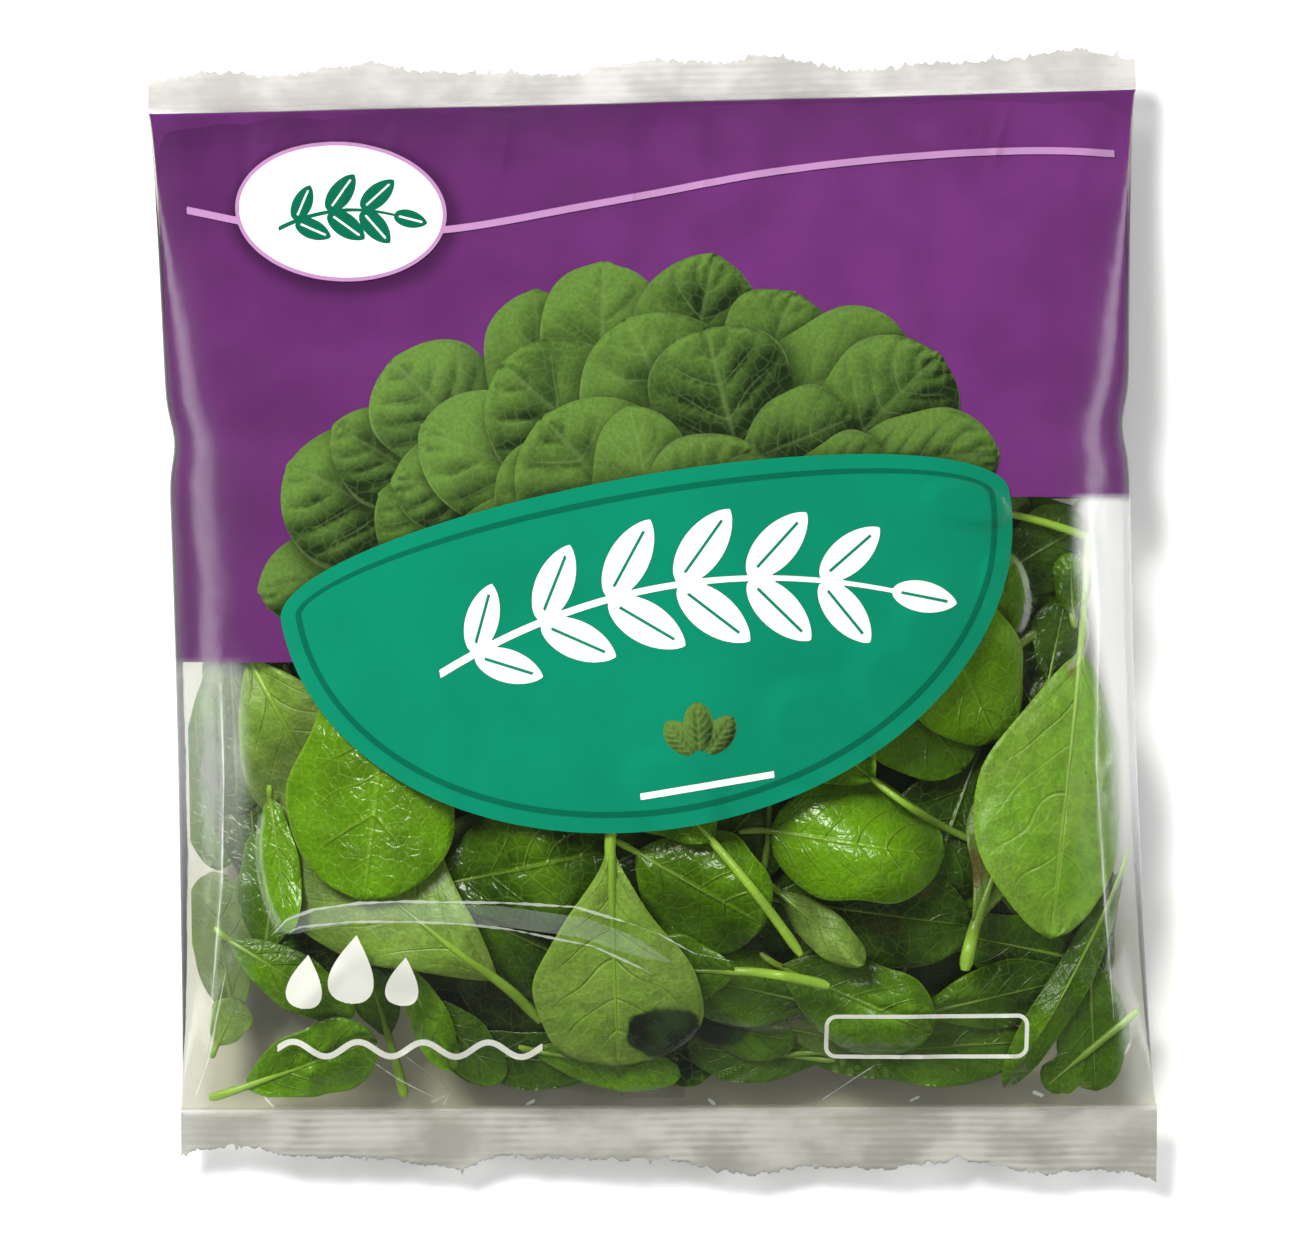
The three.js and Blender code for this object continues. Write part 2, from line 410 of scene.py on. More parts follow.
@dataclass
class SpinachLeaf:
    """A baby spinach leaf that lies under the film, with its stem.

    x and y are the middle of the blade, and turn is the direction of its tip in degrees.
    """

    x: float
    y: float
    length: float
    width: float
    turn: float
    stem: float = 8.0
    side: LeafSide = LeafSide.TOP
    fold: float = 0.0
    base: float = 0.85
    tip: float = 0.55
    puffed: float = 0.45
    bow: float = 0.0
    cup: float = 1.7
    wave: float = 0.8
    tone: float = 0.5
    seed: int = 0
    veins: int = 6
    vein_slant: float = 0.3
    stem_radius: float = 0.85
    skew: float = 0.0
    spoiled: tuple[Spot, ...] = ()

    def press(self, x: Array, y: Array) -> Array:
        """Returns how far the leaf presses the film out at each place, from 0 to 1.

        Args:
            x: places across the pack.
            y: places along the pack.

        Returns:
            The shares of the full press.
        """
        along, aside = turned(x, y, (self.x, self.y), self.turn)
        reach = np.hypot(along / (self.length / 2), aside / (self.width / 2))
        return 1 - smoothstep(reach, 0.7, 1.15)

    def within(self, x: Array, y: Array) -> tuple[Array, Array]:
        """Returns each place's share of the blade's length and its distance from the midrib.

        Args:
            x: places across the pack.
            y: places along the pack.

        Returns:
            The shares and the distances.
        """
        run, aside = turned(x, y, (self.x, self.y), self.turn)
        along = run / self.length + 0.5
        return along, aside - self.bow * self.length * (0.25 - (along - 0.5) ** 2)

    def inside(self, x: Array, y: Array) -> Array:
        """Returns roughly how far inside the blade's outline each place lies, below 0 outside.

        Args:
            x: places across the pack.
            y: places along the pack.

        Returns:
            The distances inside.
        """
        along, aside = self.within(x, y)
        held = np.clip(along, 0.0, BLADE_END)
        past = np.abs(along - held) * self.length
        gap = self.half_width(held) - np.abs(aside)
        gap = gap + 0.7 * self.wave * np.sin(9 * along + self.seed) * np.sin(math.pi * held)
        return np.where(past > 0, -np.hypot(past, np.minimum(gap, 0)), gap)

    def printed_light(self, x: Array, y: Array) -> tuple[Array, Array, Array]:
        """Works out how light from the upper left would fall on the leaf if it weren't flat.

        Args:
            x: places across the pack.
            y: places along the pack.

        Returns:
            The share of the blade's length, the share of its half width and the light.
        """
        def rise(px: Array, py: Array) -> tuple[Array, Array, Array]:
            """Returns both shares and the blade's height at some places.

            Args:
                px: places across the pack.
                py: places along the pack.

            Returns:
                The shares along and across, and the heights.
            """
            along, aside = self.within(px, py)
            along = np.clip(along, 0.0, BLADE_END)
            across = np.clip(aside / np.maximum(self.half_width(along), 0.3), -1, 1)
            dome = 0.11 * self.width * np.sin(math.pi * along) ** 0.7 * (1 - across**2)
            return along, across, dome + 0.6 * self.puffed * self.puff(along, across)

        step = 0.6
        along, across, here = rise(x, y)
        slope_x = (rise(x + step, y)[2] - here) / step
        slope_y = (rise(x, y + step)[2] - here) / step
        light_x, light_y, darkest, lightest = 0.8, -1.3, -0.6, 0.8
        return along, across, np.clip(light_x * slope_x + light_y * slope_y, darkest, lightest)

    def half_width(self, share: Array) -> Array:
        """Returns half the blade's width at each share of its length.

        Args:
            share: shares of the length.

        Returns:
            The half widths.
        """
        peak = self.base / (self.base + self.tip)
        most = peak**self.base * (1 - peak) ** self.tip
        blade = share**self.base * (1 - share) ** self.tip / most
        return self.width / 2 * blade + self.stem_radius * 0.7 * (1 - share) ** 3

    def edge(self, along: Array, across: Array) -> Array:
        """Returns the blade's own half width on each side, with its uneven margin.

        Args:
            along: shares of the blade's length.
            across: shares of the half width, whose sign gives the side.

        Returns:
            The half widths.
        """
        rng = np.random.default_rng(self.seed + 303)
        phases = np.where(across > 0, rng.uniform(0, 6.28), rng.uniform(0, 6.28))
        uneven = 0.09 * np.sin(6 * along + phases) + 0.035 * np.sin(15 * along + 2 * phases)
        lean = self.skew * np.sign(across) * np.sin(math.pi * along)
        return self.half_width(along) * (1 + lean + uneven * np.sin(math.pi * along) ** 0.5)

    def place(self, along: Array, aside: Array) -> tuple[Array, Array]:
        """Returns where points of the leaf lie in the pack.

        Args:
            along: shares of the blade's length from its base, below 0 on the stem.
            aside: distances from the midrib.

        Returns:
            Their places across and along the pack.
        """
        turn = math.radians(self.turn)
        run = self.length * (along - 0.5)
        off = aside + self.bow * self.length * (0.25 - (along - 0.5) ** 2)
        return (
            self.x + run * math.cos(turn) - off * math.sin(turn),
            self.y + run * math.sin(turn) + off * math.cos(turn),
        )

    def rot(self, x: Array, y: Array) -> Array:
        """Returns how spoiled the leaf is at each place: 1 where dark and wet, -1 where rusty.

        Args:
            x: places across the pack.
            y: places along the pack.

        Returns:
            The degrees.
        """
        worst = np.zeros(np.shape(x))
        for middle_x, middle_y, half_x, half_y, degree in self.spoiled:
            reach = np.hypot((x - middle_x) / half_x, (y - middle_y) / half_y)
            ragged = 0.12 * np.sin(0.6 * x + 0.3 * y) + 0.1 * np.sin(0.5 * y - 0.7 * x)
            here = degree * (1 - smoothstep(reach + ragged, 0.55, 1.2))
            worst = np.where(np.abs(here) > np.abs(worst), here, worst)
        return worst

    def puff(self, along: Array, across: Array) -> Array:
        """Returns how far the blade swells between its veins, from 0 on a vein to 1.

        Args:
            along: shares of the blade's length.
            across: shares of the half width, from -1 to 1.

        Returns:
            The swell.
        """
        phase = self.veins * (along - self.vein_slant * np.abs(across) ** 1.2)
        between = np.abs(np.sin(math.pi * phase)) ** 0.7
        return between * np.clip(np.abs(across) * 5, 0, 1) * (1 - np.abs(across) ** 5)

    def depth(self, along: Array, across: Array) -> Array:
        """Returns how far each point of the blade lies below its highest one.

        Args:
            along: shares of the blade's length.
            across: shares of the half width, from -1 to 1.

        Returns:
            The depth of each point, never below 0.
        """
        rng = np.random.default_rng(self.seed + 101)
        half = self.half_width(along)
        slope = math.sin(math.radians(self.fold))
        shape = np.abs(across) * half * slope + self.cup * across**2 * half / 9
        count, phase, other = rng.uniform(1.3, 2.6), rng.uniform(0, 6.28), rng.uniform(0, 6.28)
        turn = np.where(across > 0, phase, other)
        rim = np.sin(2 * math.pi * count * along + turn)
        rim = rim * np.abs(across) ** 3 * np.sin(math.pi * along) ** 0.5
        shape = shape + 1.9 * self.wave * rim
        arch, lean, twist = rng.uniform(-1.0, 3.0), rng.uniform(-2.4, 2.4), rng.uniform(-2.2, 2.2)
        shape = shape + arch * (2 * along - 1) ** 2 + lean * (along - 0.5) + twist * across * along
        for _ in range(3):
            run, cross, start = rng.uniform(-9, 9), rng.uniform(-4, 4), rng.uniform(0, 6.28)
            shape = shape + rng.uniform(0.5, 1.1) * np.sin(run * along + cross * across + start)
        uneven = 1 + 0.5 * np.sin(11 * along + 3 * across + phase)
        shape = shape - self.puffed * self.puff(along, across) * uneven
        groove = 0.35 if self.side is LeafSide.TOP else -0.15
        shape = shape + groove * np.exp(-((across * half / 1.1) ** 2))
        return shape - shape.min()


@dataclass
class LeafPile:
    """Leaves laid one under another against one face of the film."""

    form: PackForm
    front: bool
    step: float = 1.5
    reach: float = 120.0
    clearance: float = 0.85
    blade: float = 0.32
    gap: float = 0.55
    # Strength of the painted shade that darkens leaves and stems lying deep under others in the pile.
    depth_shade: float = 0.52
    spread: int = 3
    side_margin: float = 2.2
    bottom_margin: float = 2.6
    top_margin: float = 3.0
    stem_top_gap: float = 0.75
    stem_bottom_gap: float = 0.25
    fine_grid: tuple[int, int] = (34, 23)
    plain_grid: tuple[int, int] = (24, 13)
    fine_stem: tuple[int, int] = (32, 8)
    plain_stem: tuple[int, int] = (22, 6)

    def __post_init__(self) -> None:
        """Starts with bare film."""
        count = int(2 * self.reach / self.step) + 1
        self.filled = np.zeros((count, count))

    def cell(self, x: Array, y: Array) -> tuple[Array, Array]:
        """Returns the cells of the depth map that hold each place.

        Args:
            x: places across the pack.
            y: places along the pack.

        Returns:
            The rows and the columns.
        """
        limit = len(self.filled) - 1
        column = np.clip(np.rint((x + self.reach) / self.step).astype(int), 0, limit)
        row = np.clip(np.rint((y + self.reach) / self.step).astype(int), 0, limit)
        return row, column

    def settled(self, depths: Array) -> Array:
        """Returns the depth map as a stiff leaf rests under it: widened, then smoothed.

        Args:
            depths: the depth map.

        Returns:
            The new map.
        """
        for axis in (0, 1):
            shifts = range(-self.spread, self.spread + 1)
            depths = np.max([np.roll(depths, shift, axis) for shift in shifts], axis=0)
        for _ in range(2):
            for axis in (0, 1):
                shifts = range(-self.spread, self.spread + 1)
                depths = np.mean([np.roll(depths, shift, axis) for shift in shifts], axis=0)
        return depths

    def sample(self, depths: Array, x: Array, y: Array) -> Array:
        """Returns a depth map's value at each place, blended between its cells.

        Args:
            depths: the depth map.
            x: places across the pack.
            y: places along the pack.

        Returns:
            The values.
        """
        limit = len(depths) - 2
        column = np.clip((x + self.reach) / self.step, 0, limit)
        row = np.clip((y + self.reach) / self.step, 0, limit)
        c, r = column.astype(int), row.astype(int)
        dc, dr = column - c, row - r
        low = lerp(depths[r, c], depths[r, c + 1], dc)
        high = lerp(depths[r + 1, c], depths[r + 1, c + 1], dc)
        return lerp(low, high, dr)

    def inside(self, x: Array, y: Array) -> tuple[Array, Array]:
        """Returns places moved back inside the film where they lie too near its edges.

        Args:
            x: places across the pack.
            y: places along the pack.

        Returns:
            The places, moved where they have to be.
        """
        share = np.clip(self.form.share_at(x, y), 0.012, 0.985)
        left, right = self.form.sides(share)
        low, high = BOTTOM_END.line(x) + self.bottom_margin, TOP_END.line(x) - self.top_margin
        return np.clip(x, left + self.side_margin, right - self.side_margin), np.clip(y, low, high)

    def height(self, x: Array, y: Array, depth: Array) -> Array:
        """Returns the height of points that lie at a depth under this face of the film.

        Args:
            x: places across the pack.
            y: places along the pack.
            depth: how deep they lie under the film.

        Returns:
            The heights.
        """
        top, bottom = self.form.front(x, y), self.form.back(x, y)
        room = np.maximum(top - bottom - 2 * self.clearance, 0.2)
        held = room / 2 * (1 - (1 + depth / room) ** -2)
        return top - self.clearance - held if self.front else bottom + self.clearance + held

    def lay(self, leaf: SpinachLeaf, draft: MeshDraft, fine: bool) -> None:
        """Lays one leaf under those that are there.

        Args:
            leaf: the leaf.
            draft: the mesh that it goes into.
            fine: whether it is one that shows plainly.
        """
        rows, columns = self.fine_grid if fine else self.plain_grid
        along = np.linspace(0.0, 1.0, rows)[:, None] ** 0.92 * np.ones((1, columns))
        along = np.clip(along, 0.0, BLADE_END)
        across = np.linspace(-1, 1, columns)[None, :] * np.ones((rows, 1))
        folded = math.cos(math.radians(leaf.fold))
        x, y = leaf.place(along, across * leaf.edge(along, across) * folded)
        x, y = self.inside(x, y)
        own = leaf.depth(along, across)
        if leaf.side is LeafSide.UNDER:
            own = own + leaf.stem_radius * 0.8
        rest = self.sample(self.settled(self.filled), x, y)
        under = np.maximum(self.sample(self.filled, x, y), rest)
        depth = under + own
        toward = 1 if self.front else -1
        upper = np.stack([x, y, self.height(x, y, depth)], axis=-1).reshape(-1, 3)
        lower = np.stack([x, y, self.height(x, y, depth + self.blade)], axis=-1).reshape(-1, 3)
        count = rows * columns
        faces = [grid_faces(rows, columns, 0, toward < 0), grid_faces(rows, columns, count, toward > 0)]
        ring = np.concatenate([
            np.arange(columns),
            np.arange(1, rows) * columns + columns - 1,
            (rows - 1) * columns + np.arange(columns - 2, -1, -1),
            np.arange(rows - 2, 0, -1) * columns,
        ])
        after = np.roll(ring, -1)
        rim = np.stack([ring, ring + count, after + count, after], axis=1)
        faces.append(rim if toward > 0 else rim[:, ::-1])
        shows_under = float(leaf.side.value)
        draft.add(
            np.concatenate([upper, lower]),
            np.concatenate(faces),
            along=np.tile(along.ravel(), 2),
            across=np.tile(across.ravel(), 2),
            tone=leaf.tone,
            under=np.repeat([shows_under, 1 - shows_under], count),
            stalk=0.0,
            # shade: painted shade, darker where the leaf lies deep under the leaves laid before it.
            shade=np.tile(self.depth_shade * smoothstep(under, 1.0, 11.0).ravel(), 2),
            rot=np.tile(leaf.rot(x, y).ravel(), 2),
        )
        self.lay_stem(leaf, draft, under, own, along, fine)
        row, column = self.cell(x, y)
        mark = np.zeros_like(self.filled)
        np.maximum.at(mark, (row, column), depth + self.blade + self.gap)
        moves = [(shift, axis) for shift in (-1, 0, 1) for axis in (0, 1)]
        grown = np.max([np.roll(mark, shift, axis) for shift, axis in moves], axis=0)
        self.filled = np.maximum(self.filled, grown)

    def lay_stem(
        self, leaf: SpinachLeaf, draft: MeshDraft, under: Array, own: Array, along: Array, fine: bool
    ) -> None:
        """Lays a leaf's stem, which runs on along the blade as its midrib.

        Args:
            leaf: the leaf.
            draft: the mesh that it goes into.
            under: how far the pile reaches down at the blade's points.
            own: the blade's own depth at its points.
            along: shares of the blade's length at its points.
            fine: whether it is one that shows plainly.
        """
        steps, sides = self.fine_stem if fine else self.plain_stem
        start = -leaf.stem / leaf.length
        share = np.linspace(start, 0.02, 40)
        sway = leaf.stem * 0.18 * math.sin(leaf.seed * 1.7)
        x, y = leaf.place(share, sway * np.clip(share / start, 0, 1) ** 2)
        held_x, held_y = self.inside(x, y)
        out = np.flatnonzero(np.hypot(held_x - x, held_y - y) > 0.3)
        first = share[out[-1]] if len(out) else start
        share = np.linspace(first, 0.9, steps)
        x, y = leaf.place(share, sway * np.clip(share / start, 0, 1) ** 2)
        x, y = self.inside(x, y)
        thin = 0.16 + 0.84 * (1 - np.clip(share / 0.93, 0, 1)) ** 1.7
        radius = 0.72 * leaf.stem_radius * thin * (1 + 0.25 * np.clip(share / start, 0, 1))
        radius[:2] *= np.array([0.55, 0.9])
        middle = under.shape[1] // 2
        on_blade = np.interp(np.clip(share, 0, 1), along[:, middle], (under + own)[:, middle])
        pile = self.sample(self.settled(self.filled), x, y)
        free = np.where(share < 0, np.maximum(pile, 0) + radius * 0.9, 0)
        blend = smoothstep(share, start * 0.5 - 0.02, 0.02)
        proud = 0.1 if leaf.side is LeafSide.UNDER else 0.5
        sunk = 0 if leaf.side is LeafSide.UNDER else 0.15
        depth = lerp(free, on_blade + radius * proud + sunk, blend)
        height = self.height(x, y, depth)
        run = np.stack([np.gradient(x), np.gradient(y)], axis=1)
        run /= np.linalg.norm(run, axis=1)[:, None] + 1e-9
        angle = np.linspace(0, 2 * math.pi, sides, endpoint=False)
        out, up = np.cos(angle), np.sin(angle)
        ring = np.stack([
            x[:, None] - run[:, 1, None] * out * radius[:, None],
            y[:, None] + run[:, 0, None] * out * radius[:, None],
            height[:, None] + up * radius[:, None] * 0.8,
        ], axis=-1)
        points = ring.reshape(-1, 3)
        top = self.form.front(points[:, 0], points[:, 1]) - self.stem_top_gap
        bottom = self.form.back(points[:, 0], points[:, 1]) + self.stem_bottom_gap
        points[:, 2] = np.maximum(np.minimum(points[:, 2], top), bottom)
        first = np.arange(steps - 1)[:, None] * sides
        corner = np.arange(sides)[None, :]
        beside = (corner + 1) % sides
        after = first + sides
        walls = np.stack([first + corner, first + beside, after + beside, after + corner], axis=-1)
        plain = 0.62 if leaf.side is LeafSide.UNDER else 0.86
        draft.add(
            points,
            walls.reshape(-1, 4),
            along=np.repeat(share, sides),
            across=np.tile(out * 0.02, steps),
            tone=leaf.tone,
            under=0.5,
            stalk=np.repeat(1 - smoothstep(share, -0.08, 0.4) * plain, sides),
            # shade: painted shade, darker where the stem lies deep in the pile.
            shade=np.repeat(self.depth_shade * smoothstep(depth, 2.0, 12.0), sides),
            rot=np.repeat(leaf.rot(x, y), sides),
        )


class NodeKit:
    """Short ways to place and join shader nodes in one tree."""

    def __init__(self, tree: NodeTree, flat: bool = False) -> None:
        """Holds the tree, and whether its noise is the same at every height."""
        self.tree = tree
        self.flat = flat

    def add(self, kind: str, **settings: object) -> bpy.types.Node:
        """Returns a new node.

        Args:
            kind: its type, without the leading ShaderNode or Node.
            **settings: values of its properties.

        Returns:
            The node.
        """
        prefix = "Node" if kind in ("GroupInput", "GroupOutput") else "ShaderNode"
        node = self.tree.nodes.new(prefix + kind)
        for name, value in settings.items():
            setattr(node, name, value)
        return node

    def feed(self, socket: Socket, value: object) -> None:
        """Links a socket to another, or sets its plain value.

        Args:
            socket: the input.
            value: the socket or plain value that it takes.
        """
        if isinstance(value, Socket):
            self.tree.links.new(value, socket)
        elif isinstance(value, tuple) and len(value) == 3 and socket.type == "RGBA":
            socket.default_value = (*value, 1.0)
        else:
            socket.default_value = value

    def math(self, operation: str, *values: object, clamp: bool = False) -> Socket:
        """Returns the result of a Math node on up to three values.

        Args:
            operation: the node's operation.
            *values: sockets or numbers.
            clamp: whether the result is held between 0 and 1.

        Returns:
            The result.
        """
        node = self.add("Math", operation=operation, use_clamp=clamp)
        for socket, value in zip(node.inputs, values):
            self.feed(socket, value)
        return node.outputs[0]

    def times(self, first: object, second: object) -> Socket:
        """Returns the product of two values."""
        return self.math("MULTIPLY", first, second)

    def plus(self, first: object, second: object, clamp: bool = False) -> Socket:
        """Returns the sum of two values."""
        return self.math("ADD", first, second, clamp=clamp)

    def less(self, first: object, second: object, clamp: bool = False) -> Socket:
        """Returns the first value less the second."""
        return self.math("SUBTRACT", first, second, clamp=clamp)

    def mix(self, share: object, first: object, second: object, blend: str = "MIX") -> Socket:
        """Returns a mix of two colours.

        Args:
            share: how much of the second one shows.
            first: the first colour.
            second: the second colour.
            blend: the way in which they are mixed.

        Returns:
            The mixed colour.
        """
        node = self.add("Mix", data_type="RGBA", blend_type=blend)
        self.feed(node.inputs["Factor"], share)
        self.feed(node.inputs["A"], first)
        self.feed(node.inputs["B"], second)
        return next(s for s in node.outputs if s.type == "RGBA")

    def span(self, value: object, low: float, high: float, start: float = 0.0, end: float = 1.0) -> Socket:
        """Returns a value carried smoothly from one range to another.

        Args:
            value: the value.
            low: the start of its own range.
            high: the end of its own range.
            start: what low becomes.
            end: what high becomes.

        Returns:
            The new value.
        """
        node = self.add("MapRange", interpolation_type="SMOOTHSTEP")
        for name, given in (("From Min", low), ("From Max", high), ("To Min", start), ("To Max", end)):
            node.inputs[name].default_value = given
        self.feed(node.inputs["Value"], value)
        return node.outputs["Result"]

    def noise(self, size: float, detail: float = 2.0, stretch: Triple = (1, 1, 1)) -> Socket:
        """Returns noise fixed to the object.

        Args:
            size: width of its lumps, in millimetres.
            detail: number of finer layers.
            stretch: how far it is drawn out along each axis.

        Returns:
            Its value, around 0.5.
        """
        place = self.add("TexCoord").outputs["Object"]
        mapping = self.add("Mapping")
        mapping.inputs["Scale"].default_value = tuple(1 / s for s in stretch)
        self.feed(mapping.inputs["Vector"], place)
        node = self.add("TexNoise", noise_dimensions="2D" if self.flat else "3D")
        node.inputs["Scale"].default_value = 1 / (size * MM)
        node.inputs["Detail"].default_value = detail
        self.feed(node.inputs["Vector"], mapping.outputs[0])
        return node.outputs["Fac"]

    def value(self, name: str) -> Socket:
        """Returns a value that the mesh holds at its points."""
        return self.add("Attribute", attribute_name=name).outputs["Fac"]

    def bump(self, height: object, strength: float, distance: float) -> Socket:
        """Returns a normal bumped by a height, with its distance in millimetres.

        Args:
            height: the height.
            strength: how strongly it shows.
            distance: how high a height of 1 is, in millimetres.

        Returns:
            The normal.
        """
        node = self.add("Bump")
        node.inputs["Strength"].default_value = strength
        node.inputs["Distance"].default_value = distance * MM
        self.feed(node.inputs["Height"], height)
        return node.outputs[0]

    def blend(self, share: object, first: object, second: object) -> Socket:
        """Returns a mix of two shaders.

        Args:
            share: how much of the second one shows.
            first: the first shader.
            second: the second shader.

        Returns:
            The mixed shader.
        """
        node = self.add("MixShader")
        for socket, value in zip(node.inputs, (share, first, second)):
            self.feed(socket, value)
        return node.outputs[0]


def new_material(name: str) -> tuple[Material, NodeKit, bpy.types.Node]:
    """Makes a material with the usual shader.

    Args:
        name: its name.

    Returns:
        The material, a kit for its nodes and its shader.
    """
    material = bpy.data.materials.new(name)
    material.use_nodes = True
    tree = material.node_tree
    return material, NodeKit(tree), tree.nodes["Principled BSDF"]


def new_group(name: str, inputs: dict[str, tuple[str, object]], outputs: dict[str, str]) -> NodeTree:
    """Makes an empty shader node group.

    Args:
        name: its name.
        inputs: the type and default value of each input, by name.
        outputs: the type of each output, by name.

    Returns:
        The group.
    """
    tree = bpy.data.node_groups.new(name, "ShaderNodeTree")
    for socket_name, (kind, default) in inputs.items():
        socket = tree.interface.new_socket(
            name=socket_name, in_out="INPUT", socket_type="NodeSocket" + kind
        )
        socket.default_value = (*default, 1.0) if kind == "Color" else default
    for socket_name, kind in outputs.items():
        tree.interface.new_socket(name=socket_name, in_out="OUTPUT", socket_type="NodeSocket" + kind)
    return tree


RUSTY = (0.13, 0.1, 0.012)
ROTTEN = ((0.005, 0.012, 0.004), (0.03, 0.066, 0.018))
# Near-black green that the Shade input mixes towards: painted shade on leaves deep in the pile, printed
# shadow on the printed leaves.
SHADE_GREEN = (0.006, 0.012, 0.003)


def leaf_tissue_group() -> NodeTree:
    """Makes the group that colours a spinach leaf from its veins out.

    Returns:
        The group, which puts out a colour, a height and a roughness.
    """
    tree = new_group(
        "leaf_tissue",
        {
            "Along": ("Float", 0.5), "Across": ("Float", 0.0), "Tone": ("Float", 0.5),
            "Under": ("Float", 0.0), "Stalk": ("Float", 0.0), "Shade": ("Float", 0.0),
            "Rot": ("Float", 0.0),
            "Deep": ("Color", (0.02, 0.07, 0.005)), "Fresh": ("Color", (0.06, 0.18, 0.01)),
            "Pale": ("Color", (0.12, 0.22, 0.05)), "Vein": ("Color", (0.25, 0.45, 0.08)),
            "Vein Strength": ("Float", 0.5),
        },
        {"Color": "Color", "Height": "Float", "Roughness": "Float"},
    )
    kit = NodeKit(tree, flat=True)
    given = kit.add("GroupInput").outputs
    side = kit.math("ABSOLUTE", given["Across"])
    slant = kit.times(kit.math("POWER", side, 1.2), 0.3)
    phase = kit.times(kit.less(given["Along"], slant), 6.0)
    wander = kit.times(kit.less(kit.noise(12.0, 0.0), 0.5), 0.7)
    phase = kit.plus(phase, wander)
    off_vein = kit.math("ABSOLUTE", kit.less(kit.math("FRACT", kit.plus(phase, 0.5)), 0.5))
    near_midrib = kit.span(side, 0.35, 0.95, 1.0, 0.0)
    lateral = kit.times(kit.span(off_vein, 0.0, 0.07, 1.0, 0.0), near_midrib)
    lateral = kit.times(lateral, kit.span(given["Along"], 0.8, 0.92, 1.0, 0.0))
    midrib = kit.span(side, 0.012, 0.055, 1.0, 0.0)
    cells = kit.add("TexVoronoi", feature="DISTANCE_TO_EDGE", voronoi_dimensions="2D")
    cells.inputs["Scale"].default_value = 1 / (2.4 * MM)
    kit.feed(cells.inputs["Vector"], kit.add("TexCoord").outputs["Object"])
    net = kit.span(cells.outputs["Distance"], 0.0, 0.14, 1.0, 0.0)
    cloudy = kit.noise(13.0, 3.0)
    grain = kit.noise(0.8, 2.0)
    freshness = kit.plus(given["Tone"], kit.times(kit.less(cloudy, 0.5), 1.3), clamp=True)
    top = kit.mix(freshness, given["Deep"], given["Fresh"])
    green = kit.less(kit.less(1.35, given["Tone"]), kit.times(cloudy, 0.8), clamp=True)
    under = kit.mix(green, given["Pale"], given["Fresh"])
    blotch = kit.span(kit.noise(4.0, 3.0), 0.35, 0.65, 0.86, 1.09)
    under = kit.mix(1.0, under, blotch, "MULTIPLY")
    tissue = kit.mix(given["Under"], top, under)
    tissue = kit.mix(1.0, tissue, kit.span(grain, 0.3, 0.75, 0.88, 1.1), "MULTIPLY")
    strength = given["Vein Strength"]
    tissue = kit.mix(kit.times(kit.times(net, 0.5), strength), tissue, given["Vein"])
    tissue = kit.mix(kit.times(lateral, strength), tissue, given["Vein"])
    rib = kit.times(midrib, kit.plus(kit.times(given["Under"], 0.3), 0.22))
    tissue = kit.mix(rib, tissue, given["Vein"])
    # Painted highlight: a thin lighter rim along the blade's edge, mixed towards the vein colour.
    tissue = kit.mix(kit.span(side, 0.95, 0.99, 0.0, 0.3), tissue, given["Vein"])
    stalk = kit.mix(kit.span(kit.noise(9.0, 1.0), 0.35, 0.65), given["Vein"], given["Fresh"])
    stalk = kit.mix(0.75, stalk, given["Vein"])
    tissue = kit.mix(given["Stalk"], tissue, stalk)
    tissue = kit.mix(kit.span(given["Rot"], -0.7, -0.1, 1.0, 0.0), tissue, RUSTY)
    spoiled = kit.mix(kit.span(cloudy, 0.35, 0.65), *ROTTEN)
    ragged = kit.math("MULTIPLY_ADD", kit.less(kit.noise(4.5, 1.0), 0.5), 0.7, given["Rot"])
    ragged = kit.times(kit.span(ragged, 0.26, 0.7), kit.span(given["Rot"], 0.0, 0.15))
    tissue = kit.mix(ragged, tissue, spoiled)
    # Shade darkens towards near-black green: painted shade on leaves deep in the pile, printed shadow on
    # the printed leaves.
    tissue = kit.mix(given["Shade"], tissue, SHADE_GREEN)
    lumps = kit.times(kit.noise(4.2, 2.0), 2.2)
    height = kit.math("MULTIPLY_ADD", grain, 0.35, kit.math("MULTIPLY_ADD", net, -0.2, lumps))
    height = kit.less(height, kit.times(lateral, 0.9))
    height = kit.less(height, kit.times(midrib, 0.8))
    flip = kit.less(1.0, kit.times(given["Under"], 1.7))
    height = kit.times(height, flip)
    out = kit.add("GroupOutput").inputs
    kit.feed(out["Color"], tissue)
    kit.feed(out["Height"], height)
    rough = kit.plus(kit.times(given["Under"], 0.22), 0.21)
    rough = kit.plus(rough, kit.times(cloudy, 0.12))
    kit.feed(out["Roughness"], kit.less(rough, kit.times(ragged, 0.2)))
    return tree


def film_crinkle_group() -> NodeTree:
    """Makes the group of fine waviness that thin film has.

    Returns:
        The group, which puts out a height.
    """
    tree = new_group("film_crinkle", {"Fine": ("Float", 0.3)}, {"Height": "Float"})
    kit = NodeKit(tree)
    given = kit.add("GroupInput").outputs
    broad = kit.noise(16.0, 1.0)
    fine = kit.noise(3.5, 2.0, (1.6, 1, 1))
    total = kit.plus(broad, kit.times(fine, given["Fine"]))
    kit.feed(kit.add("GroupOutput").inputs["Height"], total)
    return tree


